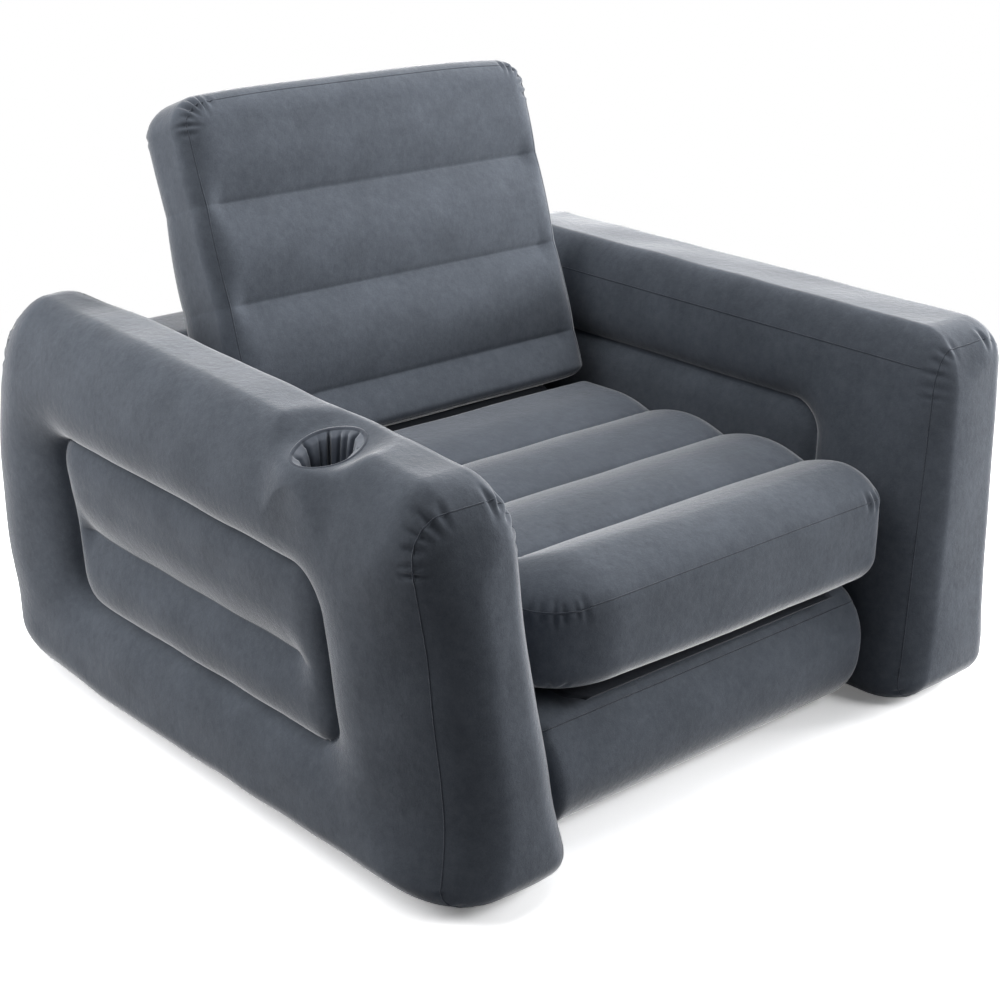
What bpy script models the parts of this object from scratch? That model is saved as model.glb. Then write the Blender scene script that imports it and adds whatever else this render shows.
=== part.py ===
"""Inflatable chair bed: two arms, a rear bolster and a base mattress stand round a seat panel and a
backrest panel, which unfold forward into a bed. Every air chamber is a thin welded skin, held in
shape by tension webs under its creases. Metres, +Z up, front of the chair towards -Y, origin at the
middle of the footprint on the floor."""

import itertools
import math

import bmesh
import bpy
from mathutils import Matrix, Vector

# Whole chair
CHAIR_WIDTH = 1.19
CHAIR_DEPTH = 1.12

# Skins, webs and the gaps between pieces that touch
SKIN = 0.001
WEB_THICKNESS = 0.0012
TOUCH_GAP = 0.0004
WEB_GAP = 0.00065
WALL_GAP = 0.0006
MERGE_DISTANCE = 0.000001

# Turns of the grid round an edge that shows, and round one that doesn't
EDGE_STEPS = 2
HIDDEN_EDGE_STEPS = 1

# Arms: each narrows upwards, leans outwards, and stands a little lower at its front. Both ends lean
# in towards the top.
ARM_REAR_HEIGHT = 0.622
ARM_FRONT_HEIGHT = 0.575
ARM_FOOT_THICKNESS = 0.240
ARM_TOP_THICKNESS = 0.172
ARM_FLARE = 0.024
ARM_FRONT_LEAN = 0.035
ARM_REAR_LEAN = 0.045
ARM_SIDE_RADIUS = 0.075
ARM_END_RADIUS = 0.085
ARM_LEVEL_RADIUS = 0.085

# Sunken panel on both sides of each arm, set in from the arm's two ends
RECESS_FRONT_INSET = 0.234
RECESS_REAR_INSET = 0.244
RECESS_LOW = 0.177
RECESS_HIGH = 0.435
RECESS_CREASE = 0.292
RECESS_DEPTH = 0.042
RECESS_BULGE = 0.024
RECESS_RIM = 0.040
RECESS_PUFF = 0.055

# Base mattress, on the floor between the arms
BASE_HEIGHT = 0.200
BASE_FRONT_INSET = 0.075
BASE_REAR_GAP = 0.0018
BASE_EDGE_RADIUS = 0.085
BASE_SIDE_RADIUS = 0.07
BASE_CREASE_DEPTH = 0.018

# Rear bolster
BOLSTER_HEIGHT = 0.540
BOLSTER_INSET = 0.012
BOLSTER_FOOT_THICKNESS = 0.25
BOLSTER_TOP_THICKNESS = 0.203
BOLSTER_RADIUS = 0.07
BOLSTER_CREASE_HEIGHT = 0.27
BOLSTER_CREASE_DEPTH = 0.016
BOLSTER_CREASE_REACH = 0.20

# Seat panel: four channels across, from a little ahead of the base to the backrest. The front one is
# shorter.
SEAT_HALF_WIDTH = 0.354
SEAT_THICKNESS = 0.193
SEAT_OVERHANG = 0.021
SEAT_CHANNELS = 4
SEAT_FRONT_CHANNEL = 0.148
SEAT_CREASE_DEPTH = 0.024
SEAT_SIDE_DRAW = 0.008
SEAT_CROWN = 0.006
SEAT_SIDE_RADIUS = 0.055
SEAT_FRONT_RADIUS = 0.065
SEAT_REAR_RADIUS = 0.022
SEAT_UNDER_RADIUS = 0.050
SEAT_UPPER_RADIUS = 0.045

# Backrest panel: leans back, its lowest channel is cut short by the seat
BACK_LEAN = math.radians(18.8)
BACK_FOOT_INSET = 0.555
BACK_HALF_WIDTH = 0.350
BACK_THICKNESS = 0.160
BACK_LOWEST_CHANNEL = 0.081
BACK_PITCH = 0.155
BACK_TOP_CHANNEL = 0.178
BACK_CREASE_DEPTH = 0.020
BACK_SIDE_DRAW = 0.004
BACK_CROWN = 0.008
BACK_SIDE_RADIUS = 0.045
BACK_LOWER_RADIUS = 0.022
BACK_UPPER_RADIUS = 0.045
BACK_REAR_RADIUS = 0.065
BACK_FRONT_RADIUS = 0.035

# Folds
FOLD_GAP = 0.0015
FLOOR_GAP = 0.0006
FRONT_WEB_HALF_WIDTH = 0.268
FRONT_WEB_PROUD = 0.050
FRONT_WEB_HIDDEN = 0.020
REAR_WEB_HALF_WIDTH = 0.27
REAR_WEB_WELD = 0.03

# Cup holder in the top of the left arm
CUP_SIDE = -0.518
CUP_AHEAD = -0.280
CUP_RADIUS = 0.043
CUP_WALL = 0.0015
CUP_DEPTH = 0.085
CUP_LIP_WIDTH = 0.0055
CUP_LIP_HEIGHT = 0.002
CUP_SIDES = 24

# Valves
VALVE_FLANGE_RADIUS = 0.026
VALVE_FLANGE_HEIGHT = 0.0012
VALVE_NECK_RADIUS = 0.0205
VALVE_BORE_RADIUS = 0.0182
VALVE_NECK_DEPTH = 0.015
VALVE_LEDGE_WIDTH = 0.0022
VALVE_LEDGE_HEIGHT = 0.0015
VALVE_SIDES = 24
INSERT_RIM_RADIUS = 0.0198
INSERT_RIM_HEIGHT = 0.0014
INSERT_BORE_RADIUS = 0.0078
INSERT_DEPTH = 0.012
INSERT_WALL = 0.0016
FLAP_RADIUS = 0.0098
FLAP_THICKNESS = 0.0008
CAP_RADIUS = 0.0115
CAP_HEIGHT = 0.0018
CAP_PLUG_RADIUS = 0.0070
CAP_PLUG_DEPTH = 0.0028
CAP_HINGE_REACH = 0.0158
CAP_STRAP_HALF_WIDTH = 0.004
CAP_STRAP_OVERLAP = 0.0012
CAP_STRAP_THICKNESS = 0.0012
FRAME_VALVE_SIDE = 0.15
FRAME_VALVE_HEIGHT = 0.135
BACK_VALVE_SIDE = 0.19

# Air passages where two chambers are welded together
PORT_RADIUS = 0.010
PORT_SIDES = 6
PORT_REACH = 0.012
ARM_PORT_HEIGHT = 0.15
ARM_PORT_INSET = 0.11
SEAT_PORT_SIDE = 0.20

# Angles
HALF_TURN = math.pi
QUARTER_TURN = math.pi / 2

# Grid lines across a panel, as shares of its pitch from each crease, and the least space between two
ROUND_CHANNEL_SHARES = (-0.5, -0.25, 0.0, 0.25, 0.5)
PLAIN_CHANNEL_SHARES = (-0.5, 0.0, 0.5)
LEAST_LINE_SHARE = 0.125
ROUND_EDGES = (EDGE_STEPS, EDGE_STEPS)
PLAIN_LOW_EDGE = (HIDDEN_EDGE_STEPS, EDGE_STEPS)
PLAIN_HIGH_EDGE = (EDGE_STEPS, HIDDEN_EDGE_STEPS)

# Places worked out from the sizes above
ARM_OUTER = CHAIR_WIDTH / 2
ARM_HALF_DEPTH = CHAIR_DEPTH / 2
RECESS_FRONT = RECESS_FRONT_INSET - ARM_HALF_DEPTH
RECESS_REAR = ARM_HALF_DEPTH - RECESS_REAR_INSET
ARM_PORT_AHEAD = ARM_HALF_DEPTH - ARM_PORT_INSET
BASE_FRONT = BASE_FRONT_INSET - ARM_HALF_DEPTH
BOLSTER_BACK = ARM_HALF_DEPTH - BOLSTER_INSET
SEAT_BOTTOM = BASE_HEIGHT + WEB_THICKNESS + 2 * TOUCH_GAP
SEAT_TOP = SEAT_BOTTOM + SEAT_THICKNESS
BACK_LENGTH = BACK_LOWEST_CHANNEL + 2 * BACK_PITCH + BACK_TOP_CHANNEL
BACK_HINGE_Y = ARM_HALF_DEPTH - BACK_FOOT_INSET + SEAT_TOP * math.tan(BACK_LEAN)
BACK_HINGE_Z = SEAT_TOP
SEAT_HINGE_Y = BASE_FRONT - SEAT_OVERHANG
SEAT_HINGE_Z = (SEAT_TOP + FLOOR_GAP) / 2
SEAT_LENGTH = BACK_HINGE_Y - SEAT_HINGE_Y - 2 * FOLD_GAP
SEAT_PITCH = (SEAT_LENGTH - SEAT_FRONT_CHANNEL) / (SEAT_CHANNELS - 1)

# Finishes: linear colour and roughness
FLOCKED_VINYL = ((0.085, 0.105, 0.130, 1.0), 0.85)
BARE_VINYL = ((0.085, 0.105, 0.130, 1.0), 0.7)
WEB_VINYL = ((0.30, 0.32, 0.34, 1.0), 0.6)
VALVE_RUBBER = ((0.045, 0.050, 0.058, 1.0), 0.55)
INSERT_PLASTIC = ((0.12, 0.13, 0.145, 1.0), 0.45)
CAP_RUBBER = ((0.075, 0.082, 0.095, 1.0), 0.5)
FLAP_FILM = ((0.55, 0.56, 0.57, 1.0), 0.4)


def clear_scene():
    for thing in list(bpy.data.objects):
        bpy.data.objects.remove(thing, do_unlink=True)


def material(name, colour, roughness):
    """A plain non-metallic finish."""
    made = bpy.data.materials.new(name)
    made.use_nodes = True
    shader = made.node_tree.nodes["Principled BSDF"]
    shader.inputs["Base Color"].default_value = colour
    shader.inputs["Roughness"].default_value = roughness
    shader.inputs["Metallic"].default_value = 0.0
    return made


def object_from(mesh, name, finish, parent=None):
    """Turn a bmesh into a named object with its own material."""
    bmesh.ops.recalc_face_normals(mesh, faces=mesh.faces)
    data = bpy.data.meshes.new(name)
    mesh.to_mesh(data)
    mesh.free()
    made = bpy.data.objects.new(name, data)
    bpy.context.scene.collection.objects.link(made)
    colour, roughness = finish
    data.materials.append(material(name + "_finish", colour, roughness))
    made.parent = parent
    return made


def empty(name, location, lean=0.0, parent=None):
    made = bpy.data.objects.new(name, None)
    bpy.context.scene.collection.objects.link(made)
    made.location = location
    made.rotation_euler = (lean, 0.0, 0.0)
    made.parent = parent
    return made


def round_smooth(thing):
    """Shade a turned piece smooth and keep its edges sharp."""
    thing.data.shade_smooth()
    thing.data.set_sharp_from_angle(angle=QUARTER_TURN / 2)


def cut(target, cutter):
    """Take the cutter's shape out of the target; the cutter itself is only a guide."""
    cutter.hide_render = True
    cutter.display_type = "WIRE"
    step = target.modifiers.new("cut_" + cutter.name, "BOOLEAN")
    step.operation = "DIFFERENCE"
    step.solver = "EXACT"
    step.object = cutter


# Rounded, shaped grids: the outer skin of every air chamber

def edge_turns(steps):
    """How far equal turns round an edge reach, from 0 where it starts to 1 at the corner."""
    return [math.tan(QUARTER_TURN / 2 * step / steps) for step in range(steps + 1)]


def axis_lines(low, high, radii, steps, between):
    """Grid lines along one axis: equal turns round both edges, and the given lines between them."""
    first = [low + radii[0] * (1.0 - turn) for turn in reversed(edge_turns(steps[0]))]
    last = [high - radii[1] * (1.0 - turn) for turn in edge_turns(steps[1])]
    return first + list(between) + last


def rounded_point(point, low, high, radii):
    """Move a point of a box's surface onto the box with rounded edges. radii holds, for each axis,
    the radius at its low end and at its high end."""
    core = Vector(min(max(p, a + r[0]), b - r[1]) for p, a, b, r in zip(point, low, high, radii))
    near = [r[0] if p < c else r[1] for p, c, r in zip(point, core, radii)]
    away = Vector((p - c) / r for p, c, r in zip(point, core, near))
    away.normalize()
    return core + Vector(a * r for a, r in zip(away, near))


def rounded_grid(low, high, radii, steps, between, shape):
    """Closed mesh of a rounded box. shape(rounded, flat) gives each vertex its final place."""
    lines = [axis_lines(*ends) for ends in zip(low, high, radii, steps, between)]
    last = [len(line) - 1 for line in lines]
    mesh = bmesh.new()
    verts = {}
    for index in itertools.product(*(range(len(line)) for line in lines)):
        if any(i in (0, end) for i, end in zip(index, last)):
            flat = Vector(line[i] for line, i in zip(lines, index))
            verts[index] = mesh.verts.new(shape(rounded_point(flat, low, high, radii), flat))
    for axis in range(3):
        across, along = (axis + 1) % 3, (axis + 2) % 3
        for side in (0, last[axis]):
            for i, j in itertools.product(range(last[across]), range(last[along])):
                corners = []
                for di, dj in ((0, 0), (1, 0), (1, 1), (0, 1)):
                    index = [0, 0, 0]
                    index[axis], index[across], index[along] = side, i + di, j + dj
                    corners.append(verts[tuple(index)])
                mesh.faces.new(corners)
    bmesh.ops.triangulate(mesh, faces=mesh.faces, quad_method="SHORT_EDGE")
    return mesh


def chamber(name, low, high, radii, steps, between, shape, parent=None):
    """An air chamber: the shaped outer skin, with the skin's thickness inwards."""
    mesh = rounded_grid(low, high, radii, steps, between, shape)
    made = object_from(mesh, name, FLOCKED_VINYL, parent)
    skin = made.modifiers.new("skin", "SOLIDIFY")
    skin.thickness = SKIN
    skin.offset = -1.0
    skin.use_even_offset = True
    return made


def plate(name, edge_a, edge_b, thickness, finish, parent=None):
    """A thin closed strip between two edges of as many points, thickened by a vector."""
    mesh = bmesh.new()
    half = thickness / 2
    rows = []
    for a, b in zip(edge_a, edge_b):
        rows.append([mesh.verts.new(p) for p in (a - half, b - half, b + half, a + half)])
    for here, there in zip(rows, rows[1:]):
        for k in range(4):
            mesh.faces.new((here[k], here[(k + 1) % 4], there[(k + 1) % 4], there[k]))
    mesh.faces.new(rows[0])
    mesh.faces.new(reversed(rows[-1]))
    return object_from(mesh, name, finish, parent)


def folded_strip(name, route, half_width, thickness, finish):
    """A strip of constant width along X that follows a route of (y, z) points."""
    normals = []
    for i in range(len(route)):
        ahead = Vector(route[min(i + 1, len(route) - 1)]) - Vector(route[max(i - 1, 0)])
        ahead.normalize()
        normals.append(Vector((-ahead.y, ahead.x)))
    mesh = bmesh.new()
    rows = []
    for point, normal in zip(route, normals):
        front = Vector(point) - normal * thickness / 2
        back = Vector(point) + normal * thickness / 2
        places = ((-half_width, front), (half_width, front), (half_width, back), (-half_width, back))
        rows.append([mesh.verts.new((x, p.x, p.y)) for x, p in places])
    for here, there in zip(rows, rows[1:]):
        for k in range(4):
            mesh.faces.new((here[k], here[(k + 1) % 4], there[(k + 1) % 4], there[k]))
    mesh.faces.new(rows[0])
    mesh.faces.new(reversed(rows[-1]))
    return object_from(mesh, name, finish)


def turned(name, profile, sides, finish, parent=None, axis_at=Vector()):
    """A solid of revolution about local Z, from a closed profile of (radius, height) points."""
    mesh = bmesh.new()
    verts = [mesh.verts.new(axis_at + Vector((radius, 0.0, height))) for radius, height in profile]
    edges = [mesh.edges.new((a, b)) for a, b in zip(verts, verts[1:] + verts[:1])]
    bmesh.ops.spin(mesh, geom=verts + edges, cent=axis_at, axis=(0.0, 0.0, 1.0),
                   angle=2 * HALF_TURN, steps=sides, use_merge=True)
    bmesh.ops.remove_doubles(mesh, verts=mesh.verts, dist=MERGE_DISTANCE)
    made = object_from(mesh, name, finish, parent)
    round_smooth(made)
    return made


# Panels: the seat, the backrest and the base share one shape, with creases across

class Panel:
    """A slab of channels. Its own frame: X across, Y along its length, Z through its thickness."""

    def __init__(self, low, high, radii, steps, creases, pitch, depth, draw, crown, width_lines, shares):
        self.low = Vector(low)
        self.high = Vector(high)
        self.radii = radii
        self.steps = steps
        self.creases = creases
        self.pitch = pitch
        self.depth = depth
        self.draw = draw
        self.crown = crown
        self.width_lines = width_lines
        self.shares = shares

    def valley(self, along):
        """1 on a crease, 0 from half a pitch away, with a round crest between."""
        nearest = min(abs(along - crease) for crease in self.creases)
        return max(0.0, 1.0 - 2.0 * nearest / self.pitch) ** 2

    def shape(self, rounded, flat):
        middle = (self.low.z + self.high.z) / 2
        half = (self.high.z - self.low.z) / 2
        drop = self.depth * self.valley(flat.y) + self.crown * (rounded.x / self.high.x) ** 2
        pulled = rounded.x * (1.0 - self.draw / self.high.x * self.valley(flat.y))
        return Vector((pulled, rounded.y, middle + (rounded.z - middle) * (1.0 - drop / half)))

    def length_lines(self):
        """Creases, crests and any lines between them, inside the rounded ends."""
        start, end = self.low.y + self.radii[1][0], self.high.y - self.radii[1][1]
        steps = [crease + self.pitch * share for crease in self.creases for share in self.shares]
        lines = []
        for line in sorted(steps):
            clear = self.pitch * LEAST_LINE_SHARE
            if start + clear < line < end - clear and (not lines or line - lines[-1] > clear):
                lines.append(line)
        return lines

    def build(self, name, parent=None):
        between = (self.width_lines, self.length_lines(), ())
        return chamber(name, self.low, self.high, self.radii, self.steps, between, self.shape, parent)

    def web(self, name, crease, parent=None):
        """The strip inside the chamber that ties the top crease to the bottom one."""
        reach = self.high.x - self.radii[0][1]
        widths = [-reach] + list(self.width_lines) + [reach]
        inset = Vector((0.0, 0.0, SKIN + WEB_GAP))
        edges = []
        for level, sign in ((self.low.z, 1.0), (self.high.z, -1.0)):
            points = [Vector((x, crease, level)) for x in widths]
            edges.append([self.shape(point, point) + sign * inset for point in points])
        thickness = Vector((0.0, WEB_THICKNESS, 0.0))
        return plate(name, edges[0], edges[1], thickness, WEB_VINYL, parent)


def seat_panel_form():
    """Seat frame: origin on the front fold's axis."""
    front = FOLD_GAP
    creases = [front + SEAT_FRONT_CHANNEL + SEAT_PITCH * k for k in range(SEAT_CHANNELS - 1)]
    low = (-SEAT_HALF_WIDTH, front, SEAT_BOTTOM - SEAT_HINGE_Z)
    high = (SEAT_HALF_WIDTH, front + SEAT_LENGTH, SEAT_TOP - SEAT_HINGE_Z)
    radii = ((SEAT_SIDE_RADIUS, SEAT_SIDE_RADIUS), (SEAT_FRONT_RADIUS, SEAT_REAR_RADIUS),
             (SEAT_UNDER_RADIUS, SEAT_UPPER_RADIUS))
    steps = (ROUND_EDGES, PLAIN_HIGH_EDGE, ROUND_EDGES)
    return Panel(low, high, radii, steps, creases, SEAT_PITCH, SEAT_CREASE_DEPTH, SEAT_SIDE_DRAW,
                 SEAT_CROWN, (0.0,), ROUND_CHANNEL_SHARES)


def back_panel_form():
    """Backrest frame: origin on the rear fold's axis, Z towards the sitter."""
    creases = [BACK_LOWEST_CHANNEL + BACK_PITCH * k for k in range(3)]
    low = (-BACK_HALF_WIDTH, FOLD_GAP, -BACK_THICKNESS)
    high = (BACK_HALF_WIDTH, BACK_LENGTH, 0.0)
    radii = ((BACK_SIDE_RADIUS, BACK_SIDE_RADIUS), (BACK_LOWER_RADIUS, BACK_UPPER_RADIUS),
             (BACK_REAR_RADIUS, BACK_FRONT_RADIUS))
    steps = (ROUND_EDGES, PLAIN_LOW_EDGE, PLAIN_LOW_EDGE)
    return Panel(low, high, radii, steps, creases, BACK_PITCH, BACK_CREASE_DEPTH, BACK_SIDE_DRAW,
                 BACK_CROWN, (0.0,), ROUND_CHANNEL_SHARES)


def bolster_front(height):
    """Front face of the rear bolster at a height."""
    share = height / BOLSTER_HEIGHT
    thickness = BOLSTER_FOOT_THICKNESS + share * (BOLSTER_TOP_THICKNESS - BOLSTER_FOOT_THICKNESS)
    return BOLSTER_BACK - thickness


def arm_thickness(height):
    """Thickness of an arm at a height, from its foot to its top."""
    share = height / ARM_REAR_HEIGHT
    return ARM_FOOT_THICKNESS + share * (ARM_TOP_THICKNESS - ARM_FOOT_THICKNESS)


def arm_outer(height):
    """Place across of an arm's outer side, which leans out towards its top."""
    return ARM_OUTER - ARM_FLARE * (1.0 - height / ARM_REAR_HEIGHT)


def room_half_width(height):
    """Half of the clear width between the arms, less the gap where chambers touch."""
    return arm_outer(height) - arm_thickness(height) - WALL_GAP


class BasePanel(Panel):
    """The base mattress: a flat underside, and sides that follow the arms."""

    def shape(self, rounded, flat):
        share = (rounded.z - self.low.z) / (self.high.z - self.low.z)
        drop = self.depth * self.valley(flat.y) * share
        if rounded.z <= self.low.z + self.radii[2][0]:
            drop = 0.0
        height = rounded.z - drop
        across = rounded.x * room_half_width(height) / self.high.x
        return Vector((across, rounded.y, height))


def base_panel_form():
    rear = bolster_front(BASE_EDGE_RADIUS) - BASE_REAR_GAP
    pitch = (rear - BASE_FRONT) / SEAT_CHANNELS
    creases = [BASE_FRONT + pitch * k for k in range(1, SEAT_CHANNELS)]
    half = room_half_width(BASE_EDGE_RADIUS)
    radii = ((BASE_SIDE_RADIUS,) * 2, (BASE_EDGE_RADIUS,) * 2, (BASE_EDGE_RADIUS,) * 2)
    steps = (ROUND_EDGES, PLAIN_HIGH_EDGE, ROUND_EDGES)
    return BasePanel((-half, BASE_FRONT, 0.0), (half, rear, BASE_HEIGHT), radii, steps, creases, pitch,
                     BASE_CREASE_DEPTH, 0.0, 0.0, (), PLAIN_CHANNEL_SHARES)


# Arms

def arm_height(ahead):
    """Height of an arm's top at a place along its depth."""
    share = (ahead + ARM_HALF_DEPTH) / CHAIR_DEPTH
    return ARM_FRONT_HEIGHT + share * (ARM_REAR_HEIGHT - ARM_FRONT_HEIGHT)


def leaned(ahead, height):
    """Place along the depth after both ends of an arm lean in above their feet. The sunken panel
    keeps its place."""
    share = max(0.0, (height - ARM_LEVEL_RADIUS) / (ARM_REAR_HEIGHT - ARM_LEVEL_RADIUS))
    front_start = RECESS_FRONT - RECESS_RIM
    rear_start = RECESS_REAR + RECESS_RIM
    front = max(0.0, (front_start - ahead) / (front_start + ARM_HALF_DEPTH))
    rear = max(0.0, (ahead - rear_start) / (ARM_HALF_DEPTH - rear_start))
    return ahead + share * (ARM_FRONT_LEAN * front - ARM_REAR_LEAN * rear)


def recess_distance(ahead, height):
    """Signed distance to the edge of the sunken panel, negative inside it."""
    middle_y, half_y = (RECESS_REAR + RECESS_FRONT) / 2, (RECESS_REAR - RECESS_FRONT) / 2
    middle_z, half_z = (RECESS_HIGH + RECESS_LOW) / 2, (RECESS_HIGH - RECESS_LOW) / 2
    out = Vector((abs(ahead - middle_y) - half_y, abs(height - middle_z) - half_z))
    return Vector((max(out.x, 0.0), max(out.y, 0.0))).length + min(max(out.x, out.y), 0.0)


def recess_depth(ahead, height):
    """How far the arm's side is drawn in: a rolled rim, then a puffed panel in two channels."""
    away = recess_distance(ahead, height)
    if away >= RECESS_RIM:
        return 0.0
    if away >= 0.0:
        share = 1.0 - away / RECESS_RIM
        return RECESS_DEPTH * (1.0 - math.sqrt(1.0 - share ** 2))
    edge = RECESS_HIGH if height > RECESS_CREASE else RECESS_LOW
    across = abs(height - RECESS_CREASE) / abs(edge - RECESS_CREASE)
    lobe = 1.0 - (2.0 * min(across, 1.0) - 1.0) ** 2
    end = min(-away / RECESS_PUFF, 1.0)
    return RECESS_DEPTH - RECESS_BULGE * lobe * math.sqrt(1.0 - (1.0 - end) ** 2)


def arm_point(side, rounded, flat):
    """Place a point of the upright arm grid on the wedge-shaped, sloping arm."""
    half = ARM_FOOT_THICKNESS / 2
    thickness = arm_thickness(rounded.z)
    across = rounded.x
    if half - abs(flat.x) < TOUCH_GAP:
        across -= math.copysign(recess_depth(flat.y, flat.z), flat.x)
    x = arm_outer(rounded.z) - thickness / 2 + across * thickness / ARM_FOOT_THICKNESS
    y = leaned(rounded.y, rounded.z)
    return Vector((side * x, y, rounded.z * arm_height(rounded.y) / ARM_REAR_HEIGHT))


def arm_lines():
    """Grid lines on an arm's side that follow the sunken panel."""
    along = (RECESS_FRONT - RECESS_RIM, RECESS_FRONT, RECESS_FRONT + RECESS_PUFF,
             RECESS_REAR - RECESS_PUFF, RECESS_REAR, RECESS_REAR + RECESS_RIM)
    upward = (RECESS_LOW - RECESS_RIM, RECESS_LOW, (RECESS_LOW + RECESS_CREASE) / 2, RECESS_CREASE,
              (RECESS_CREASE + RECESS_HIGH) / 2, RECESS_HIGH, RECESS_HIGH + RECESS_RIM)
    return along, upward


def make_arm(name, side):
    along, upward = arm_lines()
    low = (-ARM_FOOT_THICKNESS / 2, -ARM_HALF_DEPTH, 0.0)
    high = (ARM_FOOT_THICKNESS / 2, ARM_HALF_DEPTH, ARM_REAR_HEIGHT)
    radii = ((ARM_SIDE_RADIUS,) * 2, (ARM_END_RADIUS,) * 2, (ARM_LEVEL_RADIUS,) * 2)
    return chamber(name, low, high, radii, (ROUND_EDGES,) * 3, ((), along, upward),
                   lambda rounded, flat: arm_point(side, rounded, flat))


def make_arm_webs(name, side):
    """Three level strips inside an arm, at the sunken panel's upper edge, crease and lower edge."""
    half = ARM_FOOT_THICKNESS / 2
    inset = Vector((SKIN + WEB_GAP, 0.0, 0.0))
    along = (RECESS_FRONT + RECESS_PUFF, RECESS_REAR - RECESS_PUFF)
    for place, height in (("lower", RECESS_LOW), ("middle", RECESS_CREASE), ("upper", RECESS_HIGH)):
        edges = []
        for sign in (-1.0, 1.0):
            points = [Vector((sign * half, y, height)) for y in along]
            edges.append([arm_point(side, point, point) - side * sign * inset for point in points])
        thickness = Vector((0.0, 0.0, WEB_THICKNESS))
        plate(name + "_web_" + place, edges[0], edges[1], thickness, WEB_VINYL)


# Rear bolster

def bolster_point(rounded, flat):
    """Place a point of the bolster's grid: thinner upwards, ends against the arms, one crease."""
    near = max(0.0, 1.0 - abs(flat.z - BOLSTER_CREASE_HEIGHT) / BOLSTER_CREASE_REACH)
    thickness = BOLSTER_BACK - bolster_front(rounded.z)
    share = (BOLSTER_BACK - rounded.y) / BOLSTER_FOOT_THICKNESS
    drawn = share + (0.5 - share) * 2.0 * BOLSTER_CREASE_DEPTH / thickness * near ** 2
    across = rounded.x * room_half_width(rounded.z) / room_half_width(0.0)
    return Vector((across, BOLSTER_BACK - drawn * thickness, rounded.z))


def bolster_box():
    half = room_half_width(0.0)
    low = Vector((-half, BOLSTER_BACK - BOLSTER_FOOT_THICKNESS, 0.0))
    high = Vector((half, BOLSTER_BACK, BOLSTER_HEIGHT))
    return low, high


def make_bolster():
    low, high = bolster_box()
    radii = ((BOLSTER_RADIUS,) * 2,) * 3
    steps = (ROUND_EDGES, ROUND_EDGES, PLAIN_LOW_EDGE)
    return chamber("rear_bolster", low, high, radii, steps, ((), (), (BOLSTER_CREASE_HEIGHT,)),
                   bolster_point)


def make_bolster_web():
    low, high = bolster_box()
    reach = high.x - BOLSTER_RADIUS
    inset = Vector((0.0, SKIN + WEB_GAP, 0.0))
    edges = []
    for level, sign in ((low.y, 1.0), (high.y, -1.0)):
        points = [Vector((x, level, BOLSTER_CREASE_HEIGHT)) for x in (-reach, reach)]
        edges.append([bolster_point(point, point) + sign * inset for point in points])
    plate("rear_bolster_web", edges[0], edges[1], Vector((0.0, 0.0, WEB_THICKNESS)), WEB_VINYL)


# Fold webs

def make_front_hinge_web(base):
    """The double strip that joins the seat to the base, between them and just proud at the front."""
    level = (BASE_HEIGHT + SEAT_BOTTOM) / 2
    crest = base.low.y + BASE_EDGE_RADIUS
    route = [(crest - FRONT_WEB_PROUD, level), (crest + FRONT_WEB_HIDDEN, level)]
    return folded_strip("front_hinge_web", route, FRONT_WEB_HALF_WIDTH, WEB_THICKNESS, BARE_VINYL)


def make_rear_hinge_web():
    """The strip from the seat's rear face, across the fold, to the backrest's lower face."""
    away = TOUCH_GAP + WEB_THICKNESS / 2
    seat_rear = BACK_HINGE_Y - FOLD_GAP + away
    seat_weld = SEAT_TOP - SEAT_UPPER_RADIUS
    backward = Vector((math.cos(BACK_LEAN), -math.sin(BACK_LEAN)))
    upward = Vector((math.sin(BACK_LEAN), math.cos(BACK_LEAN)))
    hinge = Vector((BACK_HINGE_Y, BACK_HINGE_Z))
    weld = hinge + backward * BACK_FRONT_RADIUS + upward * (FOLD_GAP - away)
    route = [(seat_rear, seat_weld - REAR_WEB_WELD), (seat_rear, seat_weld),
             tuple(weld), tuple(weld + backward * REAR_WEB_WELD)]
    return folded_strip("rear_hinge_web", route, REAR_WEB_HALF_WIDTH, WEB_THICKNESS, BARE_VINYL)


# Cup holder

def make_cup_holder(arm):
    """A thin pocket in the arm's top, with a rolled lip that lies on the skin round the hole."""
    top = arm_height(CUP_AHEAD + CUP_RADIUS) + TOUCH_GAP
    outer = CUP_RADIUS + CUP_WALL
    lip = outer + CUP_LIP_WIDTH
    profile = [(0.0, -CUP_DEPTH), (CUP_RADIUS - CUP_WALL, -CUP_DEPTH), (CUP_RADIUS, -CUP_DEPTH + CUP_WALL),
               (CUP_RADIUS, CUP_LIP_HEIGHT / 2), (CUP_RADIUS + CUP_WALL, CUP_LIP_HEIGHT),
               (lip, CUP_LIP_HEIGHT), (lip, 0.0), (outer, 0.0), (outer, -CUP_DEPTH),
               (CUP_RADIUS, -CUP_DEPTH - CUP_WALL), (0.0, -CUP_DEPTH - CUP_WALL)]
    liner = turned("cup_holder_liner", profile, CUP_SIDES, BARE_VINYL)
    liner.location = (CUP_SIDE, CUP_AHEAD, top)
    hole = outer + TOUCH_GAP * 2
    reach = CUP_DEPTH / 2
    cutter = turned("cup_hole", [(0.0, -reach), (hole, -reach), (hole, reach), (0.0, reach)],
                    CUP_SIDES, BARE_VINYL)
    cutter.location = liner.location
    cut(arm, cutter)
    return liner


# Air passages

def make_port(name, centre, direction, parent=None):
    """A guide for a round hole along a direction, cut through the skins on both sides of a weld."""
    port = turned(name, [(0.0, -PORT_REACH), (PORT_RADIUS, -PORT_REACH), (PORT_RADIUS, PORT_REACH),
                         (0.0, PORT_REACH)], PORT_SIDES, BARE_VINYL, parent)
    port.location = centre
    port.rotation_euler = Vector((0.0, 0.0, 1.0)).rotation_difference(Vector(direction)).to_euler()
    return port


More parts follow.
